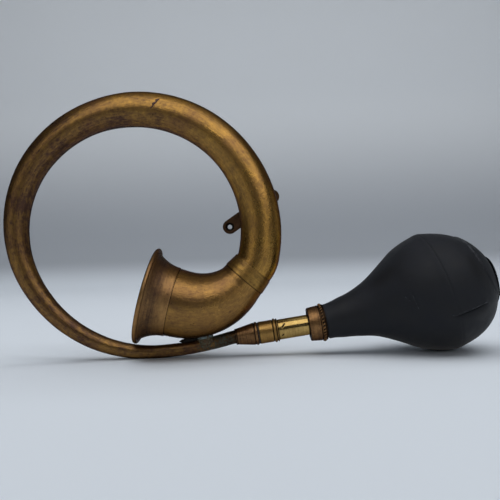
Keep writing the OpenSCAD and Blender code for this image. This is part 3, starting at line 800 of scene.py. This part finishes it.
# Union washer
# A ring of oiled leather, punched from a hide and nipped between ferrule and sleeve to keep the air in.
# It shows as a dark line.
WASHER_T = 1.0
WASHER_EASE = 0.15
spigot_r = FERRULE_D / 2 - FITTING_T - PUSH_FIT
washer_r = FERRULE_D / 2 - FITTING_T / 2
washer_leather = grained("oiled_leather", "#3a281b", "#1c130d", 0.9, 0.0, 0.65)
ferrule_end = FERRULE_LENGTH - PIPE_SEAT
washer = turned("leather_washer", rounded([
    (spigot_r + PUSH_FIT, 0),
    (washer_r, 0),
    (washer_r, WASHER_T - PUSH_FIT),
    (spigot_r + PUSH_FIT, WASHER_T - PUSH_FIT),
], WASHER_EASE), pipe_end + fitting_axis * ferrule_end * MM, fitting_axis, washer_leather)
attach(washer, "horn")
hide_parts("union_washer")

# Socket sleeve
# A sleeve turned from brass, whose spigot turns in the ferrule. The reed tube is soldered into its mouth,
# which has a round bead and a thin one at its edge.
SLEEVE_LENGTH = 16.8
SLEEVE_EASE = 0.35
RIB_BACK = 3.0
RIB_PROUD = 0.85
EDGE_BACK = 0.7
EDGE_PROUD = 0.45
EDGE_HALF = 0.65
REED_TUBE_D = 17.6
REED_TUBE_SEAT = 13.0
sleeve_brass = aged_brass("golden_turned_brass", "#a88448", "#755830", 0.25)
sleeve_start = ferrule_end + WASHER_T
sleeve_end = sleeve_start + SLEEVE_LENGTH
sleeve_bore = REED_TUBE_D / 2 + SOLDER_GAP
sleeve_r = sleeve_bore + FITTING_T
reed_start = sleeve_end - REED_TUBE_SEAT
spigot_bore = spigot_r - FITTING_T
spigot_end = ferrule_end - SPIGOT_LENGTH
rib_at = sleeve_end - RIB_BACK
rib_foot = 1.4 * RING_HALF
sleeve = turned("turned_sleeve", rounded([
    (spigot_bore, spigot_end),
    (spigot_r, spigot_end),
    (spigot_r, sleeve_start),
    (sleeve_r, sleeve_start, SLEEVE_EASE),
    (sleeve_r, rib_at - 1.9 * RING_HALF),
    (sleeve_r - GROOVE, rib_at - rib_foot),
    *bead(sleeve_r - GROOVE, rib_at, GROOVE + RIB_PROUD, RING_HALF),
    (sleeve_r - GROOVE, rib_at + rib_foot),
    *bead(sleeve_r - GROOVE, sleeve_end - EDGE_BACK, GROOVE + EDGE_PROUD, EDGE_HALF),
    (sleeve_bore, sleeve_end),
    (sleeve_bore, reed_start - SOLDER_GAP),
    (spigot_bore, reed_start - SOLDER_GAP),
], FITTING_EASE), pipe_end, fitting_axis, sleeve_brass,
    (sleeve_start, rib_at - rib_foot, rib_at + rib_foot, sleeve_end))
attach(sleeve, "reed_unit")
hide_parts("socket_sleeve")

# Reed tube
# Drawn brass tube, polished by the rubber that slides on it. It carries the reed, is soldered into the
# sleeve and goes into the bulb's neck.
REED_TUBE_SHOWN = 26.7
REED_TUBE_GRIP = 14.0
REED_TUBE_EASE = 0.2
COLLAR_DIRT = 0.4
# A nick is its two ends as (distance from the sleeve, height) on the near side
NICKS = [((3.4, 2.4), (5.8, 5.1)), ((2.8, -4.7), (3.6, -3.9))]
NICK_REACH = 0.55
NICK_DEPTH = 0.45
NICK_SKIN = 0.1
NICK_RINGS = 22
NICK_RING_SPACING = 0.35
tube_brass = aged_brass("polished_brass_tube", "#bfa263", "#8f7340", 0.10)
collar_start = sleeve_end + REED_TUBE_SHOWN
reed_end = collar_start + REED_TUBE_GRIP
reed_r = REED_TUBE_D / 2
reed_tube = turned("polished_reed_tube", rounded([
    (reed_r - FITTING_T, reed_start),
    (reed_r, reed_start),
    *[(reed_r, sleeve_end + NICK_RING_SPACING * step, 0.0) for step in range(NICK_RINGS + 1)],
    (reed_r, collar_start - COLLAR_DIRT, 0.0),
    (reed_r, collar_start, 0.0),
    (reed_r, reed_end),
    (reed_r - FITTING_T, reed_end),
], REED_TUBE_EASE), pipe_end, fitting_axis, tube_brass, (sleeve_end, collar_start))
fitting_up = Vector((-fitting_axis.z, 0, fitting_axis.x))
for point, grime in zip(reed_tube.data.vertices, reed_tube.data.attributes["grime"].data):
    way = (point.co - pipe_end) / MM
    spot = Vector((way.dot(fitting_axis) - sleeve_end, way.dot(fitting_up)))
    out = way - fitting_axis * way.dot(fitting_axis)
    if way.y > 0 or out.length < reed_r - NICK_SKIN:
        continue
    for end_a, end_b in NICKS:
        run = Vector(end_b) - Vector(end_a)
        share = min(1, max(0, (spot - Vector(end_a)).dot(run) / run.length_squared))
        strength = hump((spot - Vector(end_a) - run * share).length, NICK_REACH)
        point.co -= out.normalized() * NICK_DEPTH * strength * MM
        grime.value = max(grime.value, strength)
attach(reed_tube, "reed_unit")
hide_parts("reed_tube")

# Reed
# A cast bronze plug with a hollow beak, sealed in the tube by cork, and a tongue of rolled brass that beats
# on its slot, held by a bronze clamp with two steel screws. They are shut inside the reed tube.
reed_bronze = grained("cast_bronze", "#b58650", "#7d5730", 0.6, 1.0, 0.35)
reed_strip = grained("rolled_brass_strip", "#d6b46a", "#b08a45", 0.3, 1.0, 0.22)
dress("reed_plug", reed_bronze)
dress("reed_clamp", reed_bronze)
dress("reed_tongue", reed_strip)
dress("reed_screws", grained("turned_steel", "#8c8a88", "#5e5c5a", 0.4, 1.0, 0.3))
dress("reed_cork", grained("sheet_cork", "#c09a6a", "#8a6540", 0.7, 0.0, 0.85))

# Bulb collar
# A coppery brass collar spun over the bulb's rubber neck and rolled in at the front. The bead at its
# wide end is milled all round, to grip while it is pressed on.
COLLAR_LENGTH = 14.5
NECK_D = 27.0
COLLAR_T = 0.8
COLLAR_TAPER = 2.2
COLLAR_ROLL = 1.8
COLLAR_LIP_EASE = 0.2
COLLAR_FLAT = 0.4
RUBBER_T = 3.5
MILL_AT = 12.0
MILL_HALF = 1.35
MILL_PROUD = 0.45
MILL_DIRT = 0.5
collar_front = NECK_D / 2 + SOLDER_GAP
collar_back = collar_front + COLLAR_TAPER / 2
collar_lip = collar_front - RUBBER_T / 2
mill_r = collar_front + COLLAR_T + COLLAR_TAPER / 2 * MILL_AT / COLLAR_LENGTH
mill_front = MILL_AT - 1.4 * MILL_HALF
mill_back = MILL_AT + 1.3 * MILL_HALF
collar = turned("spun_collar", rounded([
    (collar_lip, 0, COLLAR_LIP_EASE),
    (collar_front + COLLAR_T, 0, COLLAR_ROLL),
    (mill_r, MILL_AT - 1.9 * MILL_HALF),
    (mill_r - GROOVE, mill_front),
    *bead(mill_r - GROOVE, MILL_AT, GROOVE + MILL_PROUD, MILL_HALF),
    (mill_r - GROOVE, mill_back),
    (collar_back + COLLAR_T, COLLAR_LENGTH - COLLAR_FLAT),
    (collar_back + COLLAR_T, COLLAR_LENGTH),
    (collar_back, COLLAR_LENGTH),
    (collar_front, COLLAR_T),
    (collar_lip, COLLAR_T),
], FITTING_EASE), pipe_end + fitting_axis * collar_start * MM, fitting_axis, ferrule_brass,
    (0, mill_front, MILL_AT - MILL_DIRT, MILL_AT, MILL_AT + MILL_DIRT, mill_back, COLLAR_LENGTH))
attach(collar, "bulb")
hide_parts("bulb_collar")

# Milled ring
# The slanting teeth that a milling wheel pressed into the collar's brass bead, which make it look like rope.
# They stand half sunk in the bead and move with the collar.
MILL_TEETH = 34
TOOTH_SIZE = (0.95, 0.72, 1.6)
TOOTH_SLANT = math.radians(28)
TOOTH_SUNK = 0.1
mill_tool, tree, given = node_tool("milled_ring", {
    "Teeth": "Int", "Ring radius": "Float", "Tooth": "Vector", "Slant": "Float", "Place": "Vector",
    "Turn": "Rotation", "Metal": "Material"}, "Ring")
spots = add(tree, "MeshCircle", {"Vertices": given["Teeth"], "Radius": given["Ring radius"]})[0]
place = add(tree, "InputPosition")[0]
outwards = add(tree, "AlignRotationToVector", {"Vector": place}, axis="X")[0]
slant = add(tree, "AxisAngleToRotation", {"Axis": (1, 0, 0), "Angle": given["Slant"]})[0]
slant = add(tree, "RotateRotation", {0: outwards, 1: slant}, rotation_space="LOCAL")[0]
tooth = add(tree, "MeshUVSphere", {"Segments": 10, "Rings": 6, "Radius": 1.0})[0]
ring = add(tree, "InstanceOnPoints",
           {"Points": spots, "Instance": tooth, "Rotation": slant, "Scale": given["Tooth"]})[0]
ring = add(tree, "Transform", {"Geometry": ring, "Translation": given["Place"], "Rotation": given["Turn"]})[0]
close_tool(tree, ring, given["Metal"])
teeth = new_piece("milled_teeth", bpy.data.meshes.new("milled_teeth"))
use_tool(teeth, mill_tool, {
    "Teeth": MILL_TEETH, "Ring radius": (mill_r + MILL_PROUD - TOOTH_SUNK) * MM,
    "Tooth": [size * MM for size in TOOTH_SIZE], "Slant": TOOTH_SLANT,
    "Place": pipe_end + fitting_axis * (collar_start + MILL_AT) * MM,
    "Turn": fitting_axis.to_track_quat("Z", "Y").to_euler(), "Metal": ferrule_brass})
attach(teeth, "bulb")

# Bulb neck
# The thick rubber neck inside the collar, moulded with the bulb and bored to slide on the reed tube.
# The collar's grip holds it on the tube.
NECK_EASE = 0.6
NECK_LAP = 1.0


def bulb_rubber():
    """Moulded rubber gone matt with age, as a material.

    It gives the eye a near-black that greys where dust and bloom lie, with a faint soft sheen and fine pits.
    It is paler where it is scuffed, and along the lips of folds, where the pale line is a painted highlight.
    """
    material, tree, shader, dust, crumbs, scrapes = new_material(
        "moulded_black_rubber", (22, 6.0, 0.65), (0.7, 3.0, 0.6), (3.5, 4.0, 0.7))
    scuff_and_highlight = add(tree, "Attribute", attribute_name="scuff_and_highlight")["Fac"]
    scuff_and_highlight = add(tree, "Math", {0: scuff_and_highlight, 1: scrapes}, operation="MULTIPLY")[0]
    tone, shares = layered(tree, "#0a0c11", [
        (dust, 0.35, 0.7, 1.0, "#13161d"),
        (scuff_and_highlight, 0.40, 0.66, 0.7, "#4a4d52"),
    ])
    dull = add(tree, "MapRange", {0: shares[0], 3: 0.55, 4: 0.75})[0]
    bump = add(tree, "Bump", {"Strength": 0.25, "Distance": 0.15 * MM, "Height": crumbs})[0]
    feed(shader, {
        "Base Color": tone, "Roughness": dull, "IOR": 1.52, "Specular IOR Level": 0.24, "Normal": bump})
    return material


rubber = bulb_rubber()
neck_bore = REED_TUBE_D / 2 + PUSH_FIT
neck_front = collar_start + COLLAR_T + PART_GAP / 2
root_at = collar_start + COLLAR_LENGTH + PART_GAP
neck = turned("bulb_neck", rounded([
    (neck_bore, neck_front),
    (NECK_D / 2, neck_front),
    (NECK_D / 2, root_at + NECK_LAP),
    (neck_bore, root_at + NECK_LAP),
], NECK_EASE), pipe_end, fitting_axis, rubber)
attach(neck, "bulb")
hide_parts("rubber_bulb")

# Rubber bulb
# A hollow pear of black rubber, moulded in two halves that part at its belly. Age has stiffened it: the
# belly has set a little high, and folds have stayed where hands squeezed it.
ROOT_D = 31.0
BULB_D = 103.0
BULB_REACH = 99.5
BULB_TAIL = 150.6
NECK_RINGS = 42
SHOULDER_RINGS = 76
SHOULDER_START = 60
BELLY_RINGS = 130
BULB_SIDES = 320
belly_r = BULB_D / 2
hollow_r = (BULB_REACH ** 2 + (ROOT_D / 2) ** 2 - belly_r ** 2) / (2 * belly_r - ROOT_D)
hollow_end = BULB_REACH * hollow_r / (hollow_r + belly_r)
bulb_root = pipe_end + fitting_axis * root_at * MM
bulb_axis = -Vector(joints["bulb_squeeze"]["axis"]).normalized()
bulb_up = Vector((-bulb_axis.z, 0, bulb_axis.x))
root, axis_way, up_way, front_way = np.array([bulb_root, bulb_axis, bulb_up, (0, -1, 0)])
# The belly's rise off the axis, as its height, start, run and curve
BELLY_RISE = 2.8
RISE_START = 8
RISE_RUN = 144
RISE_CURVE = 1.3
# What the pear gains on its neck and shoulder, and loses at its root and round its belly
NECK_GAIN = 0.7
ROOT_LOSS = 1.2
ROOT_REACH = 16
SHOULDER_GAIN = 0.9
SHOULDER_AT = 56
SHOULDER_REACH = 11
BELLY_LOSS = 0.5
BELLY_FROM = 58
BELLY_FULL = 82
# The rubber goes a little way into the collar, drawn in by its grip, and has a blind bore for the reed tube
COLLAR_HOLD = 2.5
COLLAR_TUCK = 2.2
TUCK_REACH = 1.6
BORE_DEPTH = 34.0
BORE_PLAY = 0.4
# The parting line runs round the belly, a little aslant, as a blunt corner with a fine groove in it, which is
# plainest on the upper near side
PARTING_REACH = 100.0
PARTING_SLANT = 4.5
PARTING_CORNER = 0.9
CORNER_REACH = 5.0
PARTING_GROOVE = 0.7
GROOVE_REACH = 0.7
PLAIN_SHARE = 0.7
PLAIN_AT = 55
PLAIN_REACH = 35
# A thin layer of cement covers the tail, further forward at the top, with a scuffed edge on its upper side
LAYER_REACH = 139.0
LAYER_SLANT = 12.0
LAYER_T = 0.8
LAYER_EDGE = 0.6
LAYER_SCUFF = 3.0
UPPER_SIDE = (-0.2, 0.6)
# A fold is its two ends as (reach, height) on the near side, how far it steps, and whether it is a groove
FOLDS = [((95.8, -14.6), (129.0, -11.6), 1.6, False),
         ((69.9, 12.6), (72.2, -2.8), 0.6, True),
         ((64.7, 9.0), (68.2, 4.2), 0.6, True)]
FOLD_FADE = 0.6
FOLD_SHARP = 0.4
FOLD_REACH = 4.0
FOLD_GROOVE = 0.8
# A crease lies under the lip of a fold, and a pale line along the lip is a painted highlight
CREASE_SHARE = 0.6
CREASE_BELOW = 0.8
CREASE_REACH = 0.7
LIP_HIGHLIGHT_AT = 0.9
LIP_HIGHLIGHT_REACH = 0.7
# Soft lumps in old rubber, as (size, depth), which fade towards the root
LUMPS = [(40.0, 0.8), (13.0, 0.22)]
LUMP_FADE = 20
# The points stand closer together on the near side, where the folds are
NEAR_CROWDING = 0.5
even_angles = np.linspace(0, 2 * math.pi, BULB_SIDES, endpoint=False)
bulb_angles = even_angles + NEAR_CROWDING * np.cos(even_angles)


def pear_radius(reach):
    """Radius of the plain pear at a distance from the collar, up to its belly."""
    if reach <= hollow_end:
        return ROOT_D / 2 + hollow_r - math.sqrt(hollow_r ** 2 - reach ** 2)
    return math.sqrt(belly_r ** 2 - (reach - BULB_REACH) ** 2)


def eased(value, low, high):
    """A smooth step from 0 at a low value to 1 at a high one."""
    share = np.clip((value - low) / (high - low), 0, 1)
    return share * share * (3 - 2 * share)


def fold_way(reach, height, start, end):
    """Where points lie on a fold: their share of its length, and how far they are above it in mm."""
    run = math.dist(start, end)
    along = (reach - start[0]) * (end[0] - start[0]) + (height - start[1]) * (end[1] - start[1])
    above = (height - start[1]) * (end[0] - start[0]) - (reach - start[0]) * (end[1] - start[1])
    return along / run ** 2, above / run


def turn_from(angle, middle):
    """Degrees from a middle direction to an angle, by the shorter way round."""
    return (np.degrees(angle) - middle + 180) % 360 - 180


def round_way(angle, up):
    """Directions at angles round the bulb, from an upward direction towards the near side."""
    return np.cos(angle)[..., None] * np.array(up) + np.sin(angle)[..., None] * front_way


def bulb_points(reach, radius, lean, lift):
    """Points of the skin in rings, from each ring's reach, plain radius, lean of its normal, and lift."""
    reach, radius, lean = (np.asarray(values)[:, None] for values in (reach, radius, lean))
    angle = bulb_angles[None, :]
    belly = eased(reach, BELLY_FROM, BELLY_FULL)
    gain = NECK_GAIN * (1 - belly) - BELLY_LOSS * belly
    gain += SHOULDER_GAIN * hump(reach - SHOULDER_AT, SHOULDER_REACH)
    loss = COLLAR_TUCK * (1 - eased(reach, -TUCK_REACH, 0)) + ROOT_LOSS * (1 - eased(reach, 0, ROOT_REACH))
    radius = radius + np.cos(lean) * gain - loss
    rise = BELLY_RISE * np.sin(math.pi * np.clip((reach - RISE_START) / RISE_RUN, 0, 1)) ** RISE_CURVE
    height = radius * np.cos(angle) + rise
    from_parting = reach - PARTING_REACH + PARTING_SLANT * np.cos(angle)
    plain = 1 - PLAIN_SHARE + PLAIN_SHARE * hump(turn_from(angle, PLAIN_AT), PLAIN_REACH)
    shift = PARTING_CORNER * hump(from_parting, CORNER_REACH)
    shift -= PARTING_GROOVE * plain * hump(from_parting, GROOVE_REACH)
    from_layer = reach - LAYER_REACH + LAYER_SLANT * np.cos(angle)
    shift += LAYER_T * eased(from_layer, -LAYER_EDGE, LAYER_EDGE)
    for start, end, step, groove in FOLDS:
        along, above = fold_way(reach, height, start, end)
        fade = np.sin(math.pi * np.clip(along, 0, 1)) ** FOLD_FADE * (np.sin(angle) > 0)
        lip = np.tanh(above / FOLD_SHARP) * hump(above, FOLD_REACH)
        lip -= CREASE_SHARE * hump(above + CREASE_BELOW, CREASE_REACH)
        shift += fade * step * (-hump(above, FOLD_GROOVE) if groove else lip)
    round_about = round_way(angle, up_way)
    outwards = np.cos(lean)[..., None] * round_about + np.sin(lean)[..., None] * axis_way
    points = reach[..., None] * axis_way + rise[..., None] * up_way + radius[..., None] * round_about
    for size, depth in LUMPS:
        lumps = [noise.noise(Vector(point) / size) for point in points.reshape(-1, 3)]
        shift += depth * eased(reach, 0, LUMP_FADE) * np.reshape(lumps, shift.shape)
    points += (shift + lift)[..., None] * outwards
    return root + points.reshape(-1, 3) * MM


neck_reach = np.append(np.linspace(-COLLAR_HOLD, SHOULDER_START, NECK_RINGS, endpoint=False),
                       np.linspace(SHOULDER_START, BULB_REACH, SHOULDER_RINGS, endpoint=False))
belly_lean = np.linspace(0, math.pi / 2, BELLY_RINGS + 1)
tail_run = BULB_TAIL - BULB_REACH
bulb_reach = np.append(neck_reach, BULB_REACH + tail_run * np.sin(belly_lean))
skin_points = bulb_points(
    bulb_reach,
    np.append([pear_radius(reach) for reach in neck_reach], belly_r * np.cos(belly_lean)),
    np.append(np.zeros(len(neck_reach)), belly_lean), 0.0)
bore_around = (neck_bore + BORE_PLAY) * round_way(bulb_angles, fitting_up)
bore_way = np.array(fitting_axis)
bore_points = [root + (depth * bore_way + bore_around) * MM for depth in (BORE_DEPTH, -COLLAR_HOLD)]
layer_edge = bulb_reach[:, None] - LAYER_REACH + LAYER_SLANT * np.cos(bulb_angles)[None, :]
upper_side = eased(np.cos(bulb_angles), *UPPER_SIDE)[None, :]
scuffs_and_highlights = (hump(layer_edge, LAYER_SCUFF) * upper_side).ravel()
skin_way = (skin_points - root) / MM
for start, end, step, groove in FOLDS:
    along, above = fold_way(skin_way @ axis_way, skin_way @ up_way, start, end)
    on_fold = (abs(along - 0.5) < 0.5) * (skin_way[:, 1] < 0)
    # Each fold's lip gets a pale painted highlight on its near side, and each groove pale scratches
    scuffs_and_highlights = np.maximum(scuffs_and_highlights, hump(above - (0.0 if groove else LIP_HIGHLIGHT_AT), LIP_HIGHLIGHT_REACH) * on_fold)
skin_points = np.concatenate([*bore_points, skin_points])
skin_faces = ring_faces(len(skin_points) // BULB_SIDES, BULB_SIDES, False) + [tuple(range(BULB_SIDES))]
scuffs_and_highlights = np.append(np.zeros(len(bore_points) * BULB_SIDES), scuffs_and_highlights)
bulb = shell("bulb_skin", skin_points.tolist(), skin_faces, {"scuff_and_highlight": scuffs_and_highlights}, rubber)
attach(bulb, "bulb")
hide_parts("rubber_bulb")
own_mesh(bulb)

# Tail patch
# A round patch of sheet rubber cemented over the bulb's tail, with a softened edge. The cement has let go
# along the upper edge, which stands off.
PATCH_D = 42.0
PATCH_T = 1.0
PATCH_FOOT = 0.1
PATCH_RINGS = 40
# The rim's two rings, as shares of the thickness, and how far out the lower one lies, in radians
RIM_SHARES = [0.5, 0.85]
RIM_OUT = 0.004
LOOSE_LIFT = 0.8
LOOSE_REACH = math.radians(9)
LOOSE_AT = 45
LOOSE_SPREAD = 40
patch_edge = math.acos(PATCH_D / 2 / belly_r)
patch_top = np.linspace(patch_edge, math.pi / 2, PATCH_RINGS)
patch_lean = np.concatenate([patch_top[::-1], [patch_edge - RIM_OUT, patch_edge], patch_top[1:]])
patch_lift = np.concatenate([np.full(PATCH_RINGS, PATCH_FOOT), [PATCH_T * share for share in RIM_SHARES],
                             np.full(PATCH_RINGS - 1, PATCH_T)])[:, None]
loose = hump(patch_lean - patch_edge, LOOSE_REACH)[:, None]
patch_lift = patch_lift + LOOSE_LIFT * loose * hump(turn_from(bulb_angles, LOOSE_AT), LOOSE_SPREAD)[None, :]
patch_points = bulb_points(BULB_REACH + tail_run * np.sin(patch_lean), belly_r * np.cos(patch_lean),
                           patch_lean, patch_lift)
patch = shell("rubber_patch", patch_points.tolist(), ring_faces(len(patch_lean), BULB_SIDES),
              {"scuff_and_highlight": np.zeros(len(patch_points))}, rubber)
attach(patch, "bulb_tail")
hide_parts("tail_patch")

# Studio
# A pale paper sweep under a wide soft panel overhead, painted darker low on its wall and towards the camera
# as shade. Cards in front, behind and on the floor show only in gloss, weak panels stand in front and at the
# sides, and the room behind the camera is dim.
FLOOR_GIVE = 0.5
FLOOR_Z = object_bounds()[0].z + FLOOR_GIVE * MM
FLOOR_BLEND = 0.075
WALL_SHADE_TOP = 0.5
NEAR_SHADE_START = -0.5
NEAR_SHADE_END = -1.3
SWEEP_START = 1.1
SWEEP_RADIUS = 0.7
SWEEP_TOP = 2.6
SWEEP_HALF = 4.0
SWEEP_FRONT = -3.0
SWEEP_STEPS = 24
ROOM_LIGHT = 0.13
sweep_line = [(SWEEP_FRONT, FLOOR_Z)]
for angle in np.linspace(0, math.pi / 2, SWEEP_STEPS + 1):
    sweep_line.append((SWEEP_START + SWEEP_RADIUS * math.sin(angle),
                       FLOOR_Z + SWEEP_RADIUS * (1 - math.cos(angle))))
sweep_line.append((SWEEP_START + SWEEP_RADIUS, SWEEP_TOP))
sweep_mesh = bpy.data.meshes.new("paper_sweep")
sweep_mesh.from_pydata([(side * SWEEP_HALF, y, z) for y, z in sweep_line for side in (-1, 1)], [],
                       [(2 * i, 2 * i + 1, 2 * i + 3, 2 * i + 2) for i in range(len(sweep_line) - 1)])
sweep_mesh.shade_smooth()
# Matt paper gives the eye a pale ground with painted shade: the wall is painted darker downwards as shade at
# its foot, and the floor darker towards the camera as shade from the dim room
paper, tree, shader = new_material("matt_backdrop_paper")
spot = add(tree, "SeparateXYZ", {0: add(tree, "TexCoord")["Object"]})
tone = layered(tree, "#a8aeb6", [
    (spot["Z"], 0.0, WALL_SHADE_TOP, 1.0, "#e5eaef"),
    (spot["Z"], FLOOR_Z + FLOOR_BLEND, FLOOR_Z, 1.0, "#dde5ee"),
    (spot["Y"], NEAR_SHADE_START, NEAR_SHADE_END, 1.0, "#5c6167"),
], "SMOOTHSTEP")[0]
feed(shader, {"Base Color": tone, "Roughness": 0.9, "Specular IOR Level": 0.1})
sweep_mesh.materials.append(paper)
sweep = new_piece("paper_sweep", sweep_mesh)

scene = bpy.context.scene
scene.view_settings.view_transform = "Standard"
scene.world = bpy.data.worlds.new("dim_room")
scene.world.use_nodes = True
room = scene.world.node_tree
feed(room.nodes["Background"], {"Color": linear("#8d9299"), "Strength": ROOM_LIGHT})


def soft_light(name, place, aim, width, depth, power, only=""):
    """A soft rectangular lamp that points at a place. It may light matt things or show in gloss only."""
    lamp = bpy.data.lights.new(name, "AREA")
    lamp.shape = "RECTANGLE"
    lamp.size = width
    lamp.size_y = depth
    lamp.energy = power
    holder = new_piece(name, lamp)
    holder.location = place
    holder.rotation_euler = (Vector(aim) - Vector(place)).to_track_quat("-Z", "Y").to_euler()
    holder.visible_glossy = only != "matt"
    holder.visible_diffuse = only != "gloss"


soft_light("front_card", (0.19, -0.32, 0.53), (0.19, -0.052, 0.396), 1.2, 0.715, 5.3, "gloss")
soft_light("overhead_panel", (0.1, 0.1, 1.6), (0.1, 0.1, 0), 3.4, 2.0, 36.5, "matt")
soft_light("front_panel", (0.2, -1.5, 0.7), (0, -0.05, -0.1), 2.2, 0.8, 2.5, "matt")
soft_light("rear_card", (0, 0.35, 1.7), (0, 0, 0), 2.4, 0.8, 3.0, "gloss")
soft_light("floor_card", (0, -0.03, FLOOR_Z + 2 * MM), (0, -0.03, 1), 1.0, 0.26, 0.13, "gloss")
soft_light("right_panel", (0.85, -1.4, 0.15), (0, 0, 0), 0.7, 0.9, 1.5)
soft_light("left_panel", (-1.15, -1.05, 0.15), (0, 0, 0), 1.0, 0.9, 1.5)
soft_light("rear_right_panel", (1.5, 0.35, 0.15), (0, 0, 0), 0.7, 0.9, 0.6)

# Camera
# It looks straight along +Y, a little below the coil's middle, and is rolled a little as the photograph is.
# Its distance is the one at which the outlines match.
LENS_SHARE = 1.3
CAMERA_DISTANCE = 0.5673
CAMERA_X = -0.0009
CAMERA_Z = -0.0338
CAMERA_ROLL = math.radians(1.6)
camera = bpy.data.cameras.new("camera")
camera.sensor_width = 36.0
camera.lens = LENS_SHARE * camera.sensor_width
camera.clip_start = 0.01
viewer = new_piece("camera", camera)
look = Matrix(((math.cos(CAMERA_ROLL), math.sin(CAMERA_ROLL), 0), (0, 0, -1),
               (-math.sin(CAMERA_ROLL), math.cos(CAMERA_ROLL), 0)))
viewer.matrix_world = Matrix.Translation((CAMERA_X, pipe_end.y - CAMERA_DISTANCE, CAMERA_Z)) @ look.to_4x4()
scene.camera = viewer
